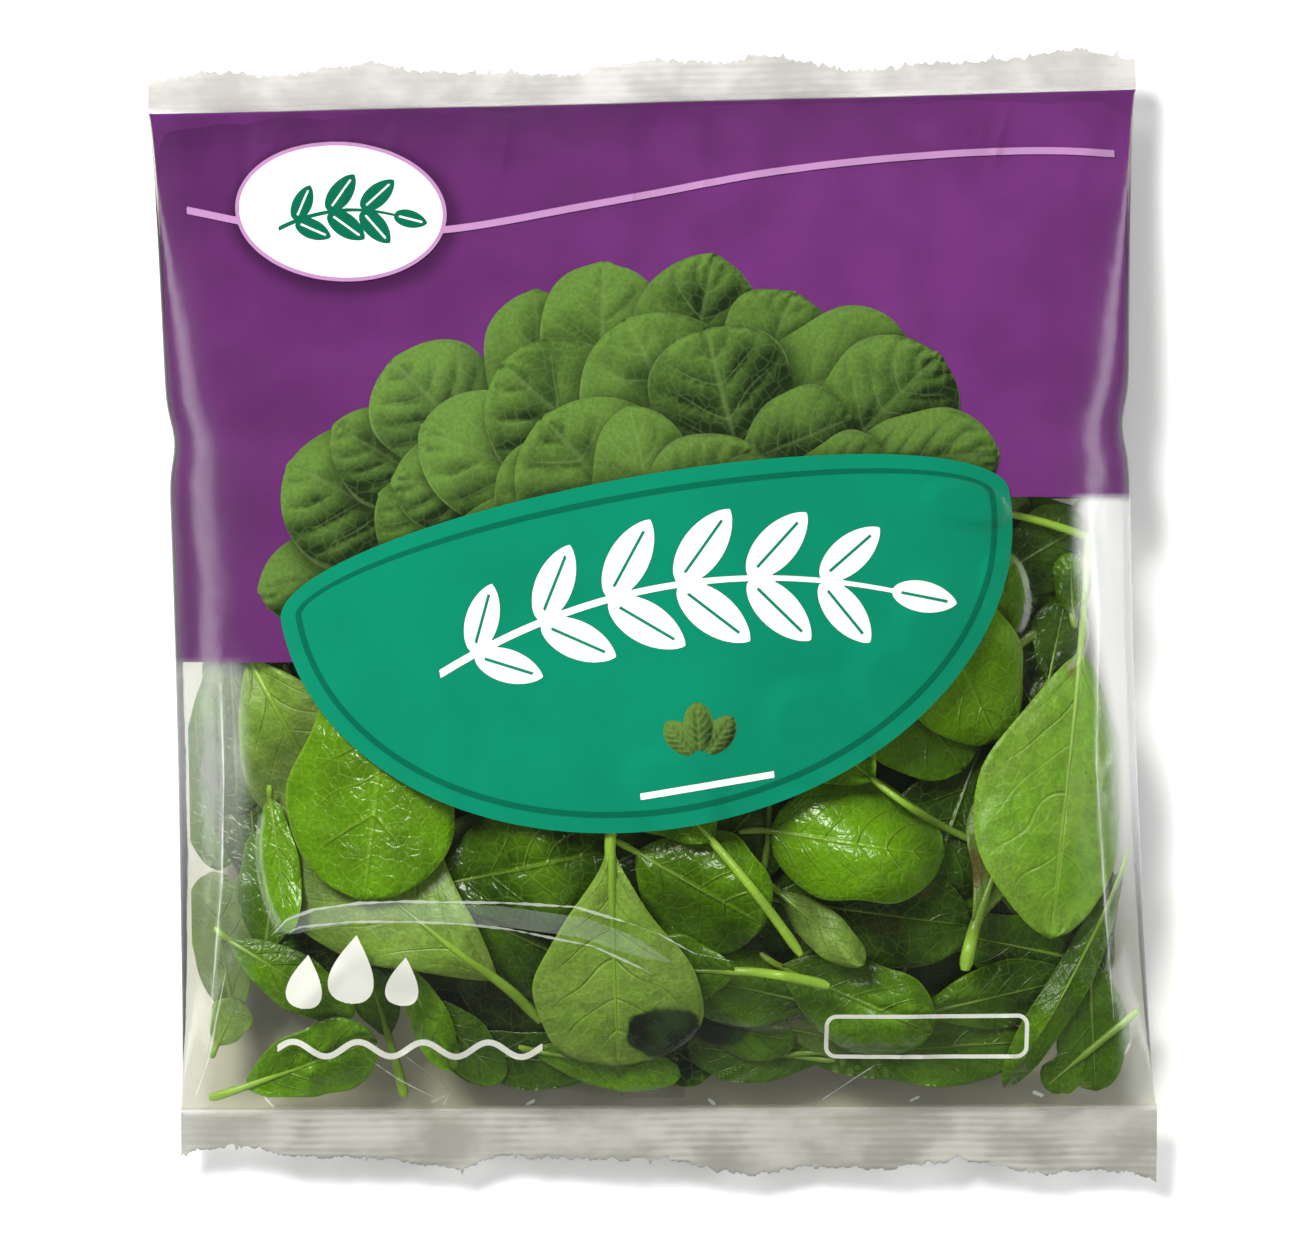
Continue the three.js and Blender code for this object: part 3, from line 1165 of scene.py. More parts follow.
def seal_crimp_group() -> NodeTree:
    """Makes the group of ribs and clouding that crimped film has.

    Returns:
        The group, which puts out the share of light film, a height and the seal's soft start.
    """
    tree = new_group(
        "seal_crimp",
        {"Out": ("Float", 3.0), "Ribs": ("Float", 0.5)},
        {"Share": "Float", "Height": "Float", "Start": "Float"},
    )
    kit = NodeKit(tree, flat=True)
    given = kit.add("GroupInput").outputs
    wander = kit.times(kit.noise(20.0, 1.0), 0.8)
    turns = kit.times(kit.plus(given["Out"], wander), 2 * math.pi / SEAL_RIB_PITCH)
    rib = kit.math("SINE", turns)
    patches = kit.span(kit.noise(17.0, 1.0, (2.2, 1, 1)), 0.36, 0.6, 0.15, 1.0)
    rib = kit.times(kit.times(rib, patches), given["Ribs"])
    streak = kit.noise(0.6, 2.0, (14, 1, 1))
    cloud = kit.noise(12.0, 3.0, (1.5, 1, 1))
    mixed = kit.plus(kit.times(streak, 0.08), kit.times(cloud, 0.92))
    mixed = kit.plus(mixed, kit.times(rib, 0.05))
    out = kit.add("GroupOutput").inputs
    kit.feed(out["Share"], kit.span(mixed, 0.3, 0.7))
    kit.feed(out["Height"], kit.plus(kit.times(rib, 0.35), kit.times(streak, 0.3)))
    kit.feed(out["Start"], kit.span(given["Out"], -0.5, 1.8, 0.15, 1.0))
    return tree


def ink_mottle_group() -> NodeTree:
    """Makes the group that lays an ink down a little unevenly.

    Returns:
        The group, which puts out a colour.
    """
    tree = new_group(
        "ink_mottle",
        {"Ink": ("Color", (0.5, 0.5, 0.5)), "Spread": ("Float", 0.05), "Shade": ("Float", 0.0)},
        {"Color": "Color"},
    )
    kit = NodeKit(tree)
    given = kit.add("GroupInput").outputs
    lumps = kit.span(kit.noise(14.0, 3.0), 0.3, 0.7, -1.0, 1.0)
    level = kit.math("MULTIPLY_ADD", lumps, given["Spread"], 1.0)
    level = kit.times(level, kit.less(1.0, given["Shade"]))
    tint = kit.add("VectorMath", operation="SCALE")
    kit.feed(tint.inputs[0], given["Ink"])
    kit.feed(tint.inputs["Scale"], level)
    kit.feed(kit.add("GroupOutput").inputs["Color"], tint.outputs[0])
    return tree


@dataclass(frozen=True)
class LeafFinish:
    """The finish of fresh leaves."""

    name: str
    deep: Colour
    fresh: Colour
    pale: Colour
    vein: Colour
    vein_strength: float
    relief: float

    def build(self, tissue: NodeTree) -> Material:
        """Returns the material, made around the shared leaf tissue.

        Args:
            tissue: the shared group of leaf tissue.

        Returns:
            The material.
        """
        material, kit, surface = new_material(self.name)
        group = kit.add("Group", node_tree=tissue)
        for socket in ("Along", "Across", "Tone", "Under", "Stalk", "Shade", "Rot"):
            kit.feed(group.inputs[socket], kit.value(socket.lower()))
        colours = {"Deep": self.deep, "Fresh": self.fresh, "Pale": self.pale, "Vein": self.vein}
        for socket, value in colours.items():
            kit.feed(group.inputs[socket], value)
        group.inputs["Vein Strength"].default_value = self.vein_strength
        kit.feed(surface.inputs["Base Color"], group.outputs["Color"])
        kit.feed(surface.inputs["Roughness"], group.outputs["Roughness"])
        if self.relief:
            kit.feed(surface.inputs["Normal"], kit.bump(group.outputs["Height"], self.relief, 0.35))
        surface.inputs["Specular IOR Level"].default_value = 0.45 if self.relief else 0.15
        return material


@dataclass(frozen=True)
class FilmFinish:
    """The finish of clear film: what it lets through, its haze and its gloss."""

    name: str
    through: Colour
    haze: float
    haze_colour: Colour
    gloss: float
    index: float
    crinkle: float
    edge: Colour
    edge_haze: float = 0.25
    fine: float = 0.3

    def build(self, crinkle: NodeTree) -> Material:
        """Returns the material, made around the shared crinkle.

        Args:
            crinkle: the shared group of waviness.

        Returns:
            The material.
        """
        material, kit, principled = new_material(self.name)
        tree = material.node_tree
        tree.nodes.remove(principled)
        group = kit.add("Group", node_tree=crinkle)
        group.inputs["Fine"].default_value = self.fine
        normal = kit.bump(group.outputs["Height"], self.crinkle, 1.0)
        clear = kit.add("BsdfTransparent")
        kit.feed(clear.inputs["Color"], kit.mix(kit.value("edge"), self.through, self.edge))
        haze = kit.add("BsdfDiffuse")
        haze.inputs["Color"].default_value = (*self.haze_colour, 1.0)
        shine = kit.add("BsdfGlossy")
        shine.inputs["Color"].default_value = (1.0, 1.0, 1.0, 1.0)
        shine.inputs["Roughness"].default_value = self.gloss
        kit.feed(shine.inputs["Normal"], normal)
        facing = kit.add("Fresnel")
        facing.inputs["IOR"].default_value = self.index
        kit.feed(facing.inputs["Normal"], normal)
        # The edge value mixes in white haze: partly the film's own haze and partly painted glare at the
        # side edges.
        hazy = kit.math("MULTIPLY_ADD", kit.value("edge"), self.edge_haze, self.haze)
        body = kit.blend(hazy, clear.outputs[0], haze.outputs[0])
        both = kit.blend(facing.outputs[0], body, shine.outputs[0])
        shadow = kit.add("LightPath").outputs["Is Shadow Ray"]
        lit = kit.blend(shadow, both, clear.outputs[0])
        kit.feed(tree.nodes["Material Output"].inputs["Surface"], lit)
        return material


@dataclass(frozen=True)
class SealFinish:
    """The finish of the crimped seals: greyish, half clear, with ribs across them."""

    name: str
    shade: Colour
    light: Colour
    cover: float
    ribs: float

    def build(self, crimp: NodeTree) -> Material:
        """Returns the material, made around the shared crimp.

        Args:
            crimp: the shared group of ribs.

        Returns:
            The material.
        """
        material, kit, surface = new_material(self.name)
        group = kit.add("Group", node_tree=crimp)
        kit.feed(group.inputs["Out"], kit.value("out"))
        group.inputs["Ribs"].default_value = self.ribs
        share = group.outputs["Share"]
        kit.feed(surface.inputs["Base Color"], kit.mix(share, self.shade, self.light))
        cover = kit.span(share, 0.0, 1.0, self.cover - 0.1, self.cover + 0.1)
        kit.feed(surface.inputs["Alpha"], kit.times(cover, group.outputs["Start"]))
        kit.feed(surface.inputs["Normal"], kit.bump(group.outputs["Height"], 0.5, 0.3))
        surface.inputs["Roughness"].default_value = 0.3
        surface.inputs["Specular IOR Level"].default_value = 0.7
        return material


@dataclass(frozen=True)
class InkFinish:
    """The finish of one printed colour under the film."""

    name: str
    colour: Colour
    cover: float = 1.0
    mottle: float = 0.05

    def build(self, mottle: NodeTree) -> Material:
        """Returns the material, made around the shared ink mottle.

        Args:
            mottle: the shared group of uneven ink.

        Returns:
            The material.
        """
        material, kit, surface = new_material(self.name)
        group = kit.add("Group", node_tree=mottle)
        kit.feed(group.inputs["Ink"], self.colour)
        kit.feed(group.inputs["Spread"], self.mottle)
        kit.feed(group.inputs["Shade"], kit.value("shade"))
        kit.feed(surface.inputs["Base Color"], group.outputs["Color"])
        surface.inputs["Roughness"].default_value = 0.45
        surface.inputs["Specular IOR Level"].default_value = 0.05
        surface.inputs["Alpha"].default_value = self.cover
        return material


@dataclass(frozen=True)
class FilmSheet:
    """One sheet of film, with the directions that its points face."""

    points: Array
    normals: Array
    triangles: Array


@dataclass
class FilmTube:
    """The film of the body: a front and a back sheet that meet at the side folds."""

    form: PackForm
    rows: int = 237
    front_columns: int = 249
    back_columns: int = 121
    row_crowding: float = 0.3
    column_crowding: float = 0.7
    # The film's side edges turn milky: partly its own haze and partly painted glare.
    haze_glare_left: float = 0.24
    haze_glare_right: float = 0.95
    haze_glare_low: float = 0.2
    sheets: dict[bool, FilmSheet] = field(default_factory=dict)

    def sheet(self, front: bool) -> FilmSheet:
        """Returns the front or the back sheet of film, worked out once.

        Args:
            front: whether it is the front one.

        Returns:
            The sheet.
        """
        if front not in self.sheets:
            self.sheets[front] = self.make_sheet(front)
        return self.sheets[front]

    def make_sheet(self, front: bool) -> FilmSheet:
        """Works out one sheet of film.

        Args:
            front: whether it is the front sheet.

        Returns:
            The sheet.
        """
        columns = self.front_columns if front else self.back_columns
        even = np.linspace(0, 1, self.rows)
        share = lerp(even, (1 - np.cos(math.pi * even)) / 2, self.row_crowding)[:, None]
        flat = np.linspace(-1, 1, columns)
        across = lerp(flat, np.sin(flat * math.pi / 2), self.column_crowding)[None, :]
        left, right = self.form.sides(share)
        low = lerp(BOTTOM_END.left[1], TOP_END.left[1], share)
        high = lerp(BOTTOM_END.right[1], TOP_END.right[1], share)
        x = lerp(left, right, (across + 1) / 2)
        y = lerp(low, high, (across + 1) / 2)
        z = self.form.front(x, y) if front else self.form.back(x, y)
        edge = self.form.level(x, y)[0]
        z[:, 0], z[:, -1] = edge[:, 0], edge[:, -1]
        points = np.stack([x, y, z], axis=-1)
        normals = np.cross(np.gradient(points, axis=1), np.gradient(points, axis=0))
        normals /= np.linalg.norm(normals, axis=-1)[..., None] + 1e-12
        faces = grid_faces(self.rows, columns, 0, not front)
        triangles = np.concatenate([faces[:, [0, 1, 2]], faces[:, [0, 2, 3]]])
        facing = 1 if front else -1
        return FilmSheet(points.reshape(-1, 3), facing * normals.reshape(-1, 3), triangles)

    def lay(
        self, draft: MeshDraft, keep: Callable, depth: float, fine: int = 0,
        values: Callable | None = None, front: bool = True,
    ) -> None:
        """Adds the part of a sheet of film where keep is above 0, on the film's own facets.

        Args:
            draft: the mesh that it goes into.
            keep: takes places across and along the pack, and returns how far inside they lie.
            depth: how deep it lies under the film.
            fine: how many times the facets are split first.
            values: takes the places and returns named values for them.
            front: whether it lies under the front sheet.
        """
        sheet = self.sheet(front)
        points = sheet.points - sheet.normals * depth
        near = keep(points[:, 0], points[:, 1]) > -3.0
        triangles = sheet.triangles[near[sheet.triangles].any(axis=1)]
        for _ in range(fine):
            points, triangles = refine(points, triangles)
        points, triangles = clip_sheet(points, triangles, keep(points[:, 0], points[:, 1]))
        named = values(points[:, 0], points[:, 1]) if values else {"shade": 0.0}
        draft.add(points, triangles, **named)

    def build(self, front_film: Material, back_film: Material) -> None:
        """Makes both sheets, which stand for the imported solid.

        Args:
            front_film: the look of the front.
            back_film: the look of the back.
        """
        for front, name, material in ((True, "front_film", front_film), (False, "back_film", back_film)):
            draft = MeshDraft()
            sheet = self.sheet(front)
            x, y = sheet.points[:, 0], sheet.points[:, 1]
            across = np.abs(self.form.across_at(x, y))
            # Milky side edges below the header, stronger on the right and weaker towards the bottom: partly
            # the film's own haze and partly painted glare.
            start = np.where(x > 0, lerp(0.92, 0.86, smoothstep(y, -30, 15)), 0.83)
            haze_glare = smoothstep(across - start, 0.0, 0.05) * np.where(x > 0, self.haze_glare_right, self.haze_glare_left)
            haze_glare = haze_glare * smoothstep(header_line(x) - y, -0.8, 0.8)
            haze_glare = haze_glare * lerp(self.haze_glare_low, 1.0, smoothstep(y, -66, -24))
            draft.add(sheet.points, sheet.triangles, edge=haze_glare)
            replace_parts(draft.build(name, material, "film"), "bag")

    def build_fold_lines(self, worn: Material, sheen: Material) -> None:
        """Makes the painted highlights along the film's sharp folds, the painted glints near the bottom
        seal and the fainter painted sheen between the two long folds.

        Args:
            highlight: the look of the painted highlight lines and glints.
            sheen: the fainter look of the painted sheen between the two long fold lines.
        """
        lines = MeshDraft()
        for crease in self.form.creases + FILM_GLINTS:
            if crease.worn:
                self.lay(lines, crease.line, FOLD_LINE_DEPTH, 2)
        lines.build("film_fold_highlights", worn, "film")
        sheen_draft = MeshDraft()
        self.lay(sheen_draft, FILM_FOLD_SHEEN.band, 2 * FOLD_LINE_DEPTH, 1)
        sheen_draft.build("film_fold_sheen", sheen, "film")

    def build_seam(self, material: Material) -> None:
        """Makes the lengthwise seam that joins the film down the middle of the back.

        Args:
            material: its look.
        """
        half, rows, columns, proud, pitch = 6.5, 300, 14, 0.13, 2.2
        x = np.linspace(-half, half, columns)[None, :] * np.ones((rows, 1))
        share = np.linspace(0.01, 0.99, rows)[:, None]
        y = lerp(BOTTOM_END.line(x), TOP_END.line(x), share)
        outer = (np.abs(x) < half - 0.6) * (0.06 * np.sin(2 * math.pi * y / pitch))
        z = np.maximum(self.form.back(x, y) - proud + outer, 0.02)
        draft = MeshDraft()
        points = np.stack([x, y, z], axis=-1).reshape(-1, 3)
        draft.add(points, grid_faces(rows, columns, 0, True), out=3.0)
        draft.build("back_seam", material, "film")


@dataclass
class CrimpedSeal:
    """One crimped end of the film with its ribs and ragged cut."""

    form: PackForm
    end: PackEnd
    thickness: float = 0.3
    overlap: float = 0.6
    rows: int = 20
    columns: int = 421
    waves: Waves = Waves((1.1, 0.7), (71.0, 29.0), (0.6, 2.1))
    half_height: float = 114.0
    seed: int = 5

    def cut(self, x: Array) -> Array:
        """Returns how far along the pack the ragged cut lies at each place across it.

        Args:
            x: places across the pack.

        Returns:
            The places along the pack.
        """
        rng = np.random.default_rng(self.seed)
        share = (x + self.half_height) / (2 * self.half_height)
        line = lerp(self.end.cut_left, self.end.cut_right, share)
        ragged = np.zeros(len(x))
        every = np.linspace(0, 1, len(x))
        for size, rise in ((22, 0.45), (60, 0.45), (150, 0.45), (len(x), 0.3)):
            ragged += rise * np.interp(every, np.linspace(0, 1, size), rng.uniform(-1, 1, size))
        spikes = rng.uniform(0, 1, len(x)) > 0.965
        ragged += self.end.sign * spikes * rng.uniform(0.4, 1.1, len(x))
        edge = line + self.waves.at(x * self.end.sign) + ragged
        furthest = np.max(self.end.sign * edge)
        return edge + self.end.sign * (self.half_height - furthest)

    def build(self, name: str, material: Material) -> bpy.types.Object:
        """Returns the seal as one closed thin piece.

        Args:
            name: the piece's name.
            material: its look.

        Returns:
            The piece.
        """
        across = np.linspace(-1, 1, self.columns)[None, :]
        middle = lerp(self.end.left[0], self.end.right[0], (across + 1) / 2)
        share = np.linspace(0, 1, self.rows)[:, None]
        start = self.end.line(middle) - self.end.sign * self.overlap
        y = lerp(start, self.cut(middle[0])[None, :], share)
        x = np.broadcast_to(middle, y.shape)
        out = self.end.sign * (y - self.end.line(x))
        flutter = 0.25 * np.sin(x / 5.3 + 2) * np.sin(out / 4 + x / 17) * smoothstep(out, 1, 6)
        z = self.form.seal_middle(self.end, x, out) + flutter
        half = self.thickness / 2 * (1 - across**40)
        draft = MeshDraft()
        upper = np.stack([x, y, z + half], axis=-1).reshape(-1, 3)
        lower = np.stack([x, y, z - half], axis=-1).reshape(-1, 3)
        facing = self.end.sign < 0
        faces = [
            grid_faces(self.rows, self.columns, 0, facing),
            grid_faces(self.rows, self.columns, len(upper), not facing),
        ]
        first = np.arange(self.columns - 1)
        for row in (0, self.rows - 1):
            a = first + row * self.columns
            b = a + 1
            wall = np.stack([a, a + len(upper), b + len(upper), b], axis=1)
            faces.append(wall if (row == 0) != facing else wall[:, ::-1])
        draft.add(np.concatenate([upper, lower]), np.concatenate(faces), out=np.tile(out.ravel(), 2))
        return draft.build(name, material, "film")


def refine(points: Array, triangles: Array) -> tuple[Array, Array]:
    """Splits each triangle into four that lie flat on it.

    Args:
        points: the points.
        triangles: the triangles.

    Returns:
        The new points and triangles.
    """
    corners = points[triangles]
    middles = (corners + np.roll(corners, -1, axis=1)) / 2
    a, b, c = (corners[:, i] for i in range(3))
    ab, bc, ca = (middles[:, i] for i in range(3))
    made = np.stack([a, ab, ca, ab, b, bc, ca, bc, c, ab, bc, ca], axis=1).reshape(-1, 3)
    return merge_points(made, np.arange(len(made)).reshape(-1, 3))


def merge_points(points: Array, triangles: Array) -> tuple[Array, Array]:
    """Returns the points with those in one place joined, and the renumbered triangles.

    Args:
        points: the points.
        triangles: the triangles.

    Returns:
        The points that are left and the triangles.
    """
    keys = np.round(points * 2000).astype(np.int64)
    code = (keys[:, 0] * 1_000_003 + keys[:, 1]) * 1_000_003 + keys[:, 2]
    _, first, index = np.unique(code[triangles.ravel()], return_index=True, return_inverse=True)
    return points[triangles.ravel()[first]], index.reshape(triangles.shape)


def clip_sheet(points: Array, triangles: Array, keep: Array) -> tuple[Array, Array]:
    """Cuts a sheet along the line where a value changes sign.

    Args:
        points: the sheet's points.
        triangles: its triangles.
        keep: a value at each point, above 0 where the sheet stays.

    Returns:
        The points and triangles of what stays.
    """
    inside = keep[triangles] > 0
    count = inside.sum(axis=1)
    made, cuts = [triangles[count == 3]], [points]
    total = len(points)
    for wanted in (1, 2):
        chosen = triangles[count == wanted]
        held = inside[count == wanted] if wanted == 1 else ~inside[count == wanted]
        first = np.argmax(held, axis=1)
        rows = np.arange(len(chosen))
        a, b, c = (chosen[rows, (first + turn) % 3] for turn in range(3))
        ends = []
        for other in (b, c):
            share = (keep[a] / (keep[a] - keep[other]))[:, None]
            cuts.append(lerp(points[a], points[other], share))
            ends.append(np.arange(total, total + len(chosen)))
            total += len(chosen)
        if wanted == 1:
            made.append(np.stack([a, ends[0], ends[1]], axis=1))
        else:
            made.append(np.stack([ends[0], b, c], axis=1))
            made.append(np.stack([ends[0], c, ends[1]], axis=1))
    return merge_points(np.concatenate(cuts), np.concatenate(made))


class InkDepth(Enum):
    """How deep each printed shape lies under the film, in millimetres."""

    MOTIF = 0.12
    LINE = 0.17
    PLAQUE = 0.22
    BADGE = 0.22
    BADGE_RIM = 0.27
    STRIPE = 0.32
    FIRST_LEAF = 0.28
    LAST_LEAF = 0.6
    HEADER = 0.66


@dataclass(frozen=True)
class Oval:
    """A printed oval, which may be deeper below its long axis than above it."""

    x: float
    y: float
    half_length: float
    above: float
    below: float
    turn: float

    def inside(self, x: Array, y: Array) -> Array:
        """Returns roughly how far inside the oval each place lies, below 0 outside.

        Args:
            x: places across the pack.
            y: places along the pack.

        Returns:
            The distances inside.
        """
        along, aside = turned(x, y, (self.x, self.y), self.turn)
        half = np.where(aside > 0, self.above, self.below)
        reach = np.maximum(np.hypot(along / self.half_length, aside / half), 1e-6)
        slope = np.hypot(along / self.half_length**2, aside / half**2) / reach
        return (1 - reach) / np.maximum(slope, 1e-6)


@dataclass(frozen=True)
class Sprig:
    """A printed sprig: a gently bent stem with leaves in pairs and one at its end."""

    x: float
    y: float
    length: float
    turn: float
    pairs: int
    blade: float
    slimness: float = 0.46
    lean: float = 46.0
    stem_half: float = 0.7
    arch: float = 0.1
    groove: float = 0.3

    def leaves(self) -> list[SpinachLeaf]:
        """Returns the outlines of its leaves.

        Returns:
            The leaves.
        """
        made = []
        angle = math.radians(self.turn)
        for index in range(self.pairs + 1):
            share = (index + 0.5) / (self.pairs + 0.6)
            run = (share - 0.5) * self.length
            rise = self.arch * self.length * (1 - (2 * share - 1) ** 2)
            base = (
                self.x + run * math.cos(angle) - rise * math.sin(angle),
                self.y + run * math.sin(angle) + rise * math.cos(angle),
            )
            blade = self.blade * (0.72 + 0.28 * math.sin(math.pi * share))
            slope = math.degrees(math.atan(-4 * self.arch * (2 * share - 1)))
            leans = (0.0,) if index == self.pairs else (self.lean, -self.lean)
            for lean in leans:
                turn = self.turn + slope + lean
                reach = blade / 2 + (0.0 if lean == 0.0 else self.stem_half)
                x = base[0] + reach * math.cos(math.radians(turn))
                y = base[1] + reach * math.sin(math.radians(turn))
                width = blade * self.slimness
                made.append(SpinachLeaf(x, y, blade, width, turn, base=0.7, tip=0.75, wave=0.0))
        return made

    def inside(self, x: Array, y: Array, grooved: bool = True) -> Array:
        """Works out the sprig's outline.

        Args:
            x: places across the pack.
            y: places along the pack.
            grooved: whether each leaf's midrib is left bare.

        Returns:
            Roughly how far inside the sprig each place lies.
        """
        run, aside = turned(x, y, (self.x, self.y), self.turn)
        share = run / self.length + 0.5
        aside = aside - self.arch * self.length * (1 - (2 * share - 1) ** 2)
        stem = self.stem_half * (1.15 - 0.5 * share) - np.abs(aside)
        best = np.minimum(stem, np.minimum(share, 1.0 - share) * self.length)
        for leaf in self.leaves():
            mark = leaf.inside(x, y)
            if grooved:
                along, off = leaf.within(x, y)
                bare = np.where((along > 0.12) & (along < 0.86), np.abs(off) - self.groove, np.inf)
                mark = np.minimum(mark, bare)
            best = np.maximum(best, mark)
        return best


@dataclass(frozen=True)
class PrintFinish:
    """The inks of the printed design."""

    header: Material
    plaque: Material
    line: Material
    stripe: Material
    white: Material
    leaf: Material


@dataclass
class PackPrint:
    """The printed design: fields of colour and simple shapes, held just under the film."""

    tube: "FilmTube"
    seed: int = 4
    plaque: Oval = Oval(-1.6, 11.9, 73.1, 15.5, 54.0, 10.08)
    plaque_inset: float = 3.6
    plaque_line: float = 0.59
    title: Sprig = Sprig(3.4, -3.5, 92.0, 10.08, 6, 17.5)
    badge: Oval = Oval(-62.2, 80.5, 20.4, 13.4, 13.4, -5.0)
    badge_rim: float = 0.8
    badge_shadow: float = 2.2
    badge_sprig: Sprig = Sprig(
        -62.6, 78.2, 24.0, 6.0, 3, 9.0, slimness=0.5, stem_half=0.4, groove=0.22
    )
    badge_cast: float = 0.42
    header_shade: float = 0.09
    header_drift: float = -0.0022
    # Strength and reach of the painted shade near the top seal.
    seal_cast: float = 0.3
    seal_reach: float = 9.0
    stripe: tuple[Point, ...] = (
        (-93.2, 81.0), (-80.0, 78.2), (-62.0, 76.0), (-42.0, 76.6), (-10.6, 82.0),
        (29.4, 89.2), (61.4, 92.3), (80.0, 92.9), (92.4, 92.4),
    )
    stripe_half: float = 0.72
    fan: Oval = Oval(-1.6, 6.0, 61.0, 47.0, 47.0, 10.08)
    fan_rings: tuple[tuple[float, int, float, float], ...] = (
        (0.98, 11, 0.0, 84.0), (0.7, 8, 0.5, 78.0), (0.42, 6, 0.0, 66.0),
    )
    fan_blade: float = 35.0
    emblem: tuple[Point, float] = ((9.4, -22.5), 9.5)
    rule: tuple[Point, Point] = ((-2.5, -35.6), (23.8, -31.2))
    rule_half: float = 0.65
    frame_box: tuple[float, float, float, float] = (54.5, -83.8, 20.0, 4.2)
    frame_line: float = 0.42
    drops: tuple[Triple, ...] = (
        (-69.0, -72.6, 11.0), (-59.5, -70.0, 14.0), (-49.5, -72.4, 10.0),
    )
    ripple: tuple[float, float, float, float] = (-75.0, -22.0, -86.5, 1.5)
    ripple_pitch: float = 13.0
    ripple_half: float = 0.62

    def build(self, finish: PrintFinish) -> None:
        """Makes every printed piece.

        Args:
            finish: the inks.
        """
        self.build_header(finish)
        self.build_fan(finish)
        self.build_plaque(finish)
        self.build_badge(finish)
        self.build_marks(finish)

    def stamp(
        self, name: str, ink: Material, keep: Callable, depth: InkDepth, fine: int = 0
    ) -> None:
        """Makes one printed piece on the front film.

        Args:
            name: the piece's name.
            ink: its material.
            keep: takes places, and returns how far inside the shape they lie.
            depth: how deep it lies under the film.
            fine: how many times the film's facets are split first.
        """
        draft = MeshDraft()
        self.tube.lay(draft, keep, depth.value, fine)
        draft.build(name, ink, "print")

    def build_header(self, finish: PrintFinish) -> None:
        """Makes the header, which runs round the pack, and the stripe across it.

        Args:
            finish: the inks.
        """
        def upper_shading(x: Array, y: Array) -> dict[str, Array]:
            """Returns the printed shadow of the badge, painted shade near the top seal and an overall
            darkening that grows towards the left.

            Args:
                x: places across the pack.
                y: places along the pack.

            Returns:
                The shade.
            """
            gap = -self.badge.inside(x - 0.7, y + 1.0) - self.badge_rim
            cast = self.badge_cast * np.exp(-((np.maximum(gap, 0) / self.badge_shadow) ** 2))
            cast = np.maximum(cast, lower_shading(x, y)["shade"])
            return {"shade": cast + self.header_shade + self.header_drift * x}

        def lower_shading(x: Array, y: Array) -> dict[str, Array]:
            """Returns painted shade near the top seal."""
            return {"shade": self.seal_cast * np.exp(-(TOP_END.line(x) - y) / self.seal_reach)}

        header = MeshDraft()
        for front, shading in ((True, upper_shading), (False, lower_shading)):
            self.tube.lay(
                header, lambda x, y: y - header_line(x), InkDepth.HEADER.value, 0, shading, front
            )
        header.build("header_print", finish.header, "print")
        line = smooth_line(self.stripe, 160)

        def on_stripe(x: Array, y: Array) -> Array:
            """Returns how far inside the stripe each place lies.

            Args:
                x: places across the pack.
                y: places along the pack.

            Returns:
                The distances inside.
            """
            middle = np.interp(x, line[:, 0], line[:, 1], left=-500, right=-500)
            slope = np.interp(x, line[:, 0], np.gradient(line[:, 1], line[:, 0]))
            off = np.abs(y - middle) / np.sqrt(1 + slope**2)
            return np.minimum(self.stripe_half - off, -self.badge.inside(x, y))

        self.stamp("stripe_print", finish.stripe, on_stripe, InkDepth.STRIPE, 2)

    def fan_leaves(self) -> list[SpinachLeaf]:
        """Returns the printed leaves, from the outer ring to the inner one.

        Returns:
            The leaves.
        """
        rng = np.random.default_rng(self.seed)
        made = []
        for scale, count, shift, reach in self.fan_rings:
            for index in range(count):
                share = (index + 0.5 + shift * 0.4) / count * 2 - 1
                swing = 90 - share * reach + rng.uniform(-3.5, 3.5)
                angle = math.radians(swing)
                along = self.fan.half_length * scale * math.cos(angle)
                aside = self.fan.above * scale * math.sin(angle) ** 0.8 * rng.uniform(0.93, 1.04)
                tilt = math.radians(self.fan.turn)
                x = self.fan.x + along * math.cos(tilt) - aside * math.sin(tilt)
                y = self.fan.y + along * math.sin(tilt) + aside * math.cos(tilt)
                length = self.fan_blade * rng.uniform(0.78, 1.25) * (1.1 - 0.36 * abs(share))
                made.append(SpinachLeaf(
                    x, y, length, length * rng.uniform(0.6, 0.88),
                    swing + self.fan.turn + rng.uniform(-38, 38), base=rng.uniform(0.5, 0.95),
                    tip=rng.uniform(0.4, 0.65), bow=rng.uniform(-0.12, 0.12), tone=rng.uniform(0.15, 0.65),
                    puffed=rng.uniform(0.2, 0.9), seed=int(rng.integers(1000)),
                ))
        return made

    def build_fan(self, finish: PrintFinish) -> None:
        """Makes the fan of printed leaves that spreads behind the plaque.

        Args:
            finish: the inks.
        """
        leaves = self.fan_leaves()
        draft = MeshDraft()
        depths = np.linspace(InkDepth.LAST_LEAF.value, InkDepth.FIRST_LEAF.value, len(leaves))
        for order, leaf in enumerate(leaves):
            above = leaves[order + 1:]

            def shading(x: Array, y: Array) -> dict[str, Array]:
                """Returns the leaf's own places and how the light falls on it.

                Args:
                    x: places across the pack.
                    y: places along the pack.

                Returns:
                    The named values.
                """
                along, across, lit = leaf.printed_light(x, y)
                hidden = np.zeros(len(x))
                for other in above:
                    gap = -other.inside(x - 0.8, y + 1.2)
                    hidden = np.maximum(hidden, np.exp(-np.maximum(gap, 0) / 3.0))
                gap = -self.plaque.inside(x, y)
                hidden = np.maximum(hidden, 0.8 * np.exp(-np.maximum(gap, 0) / 2.0))
                return {
                    "along": along, "across": across, "tone": leaf.tone + lit,
                    "under": 0.0, "stalk": 0.0, "rot": 0.0, "shade": 0.74 * hidden,
                }

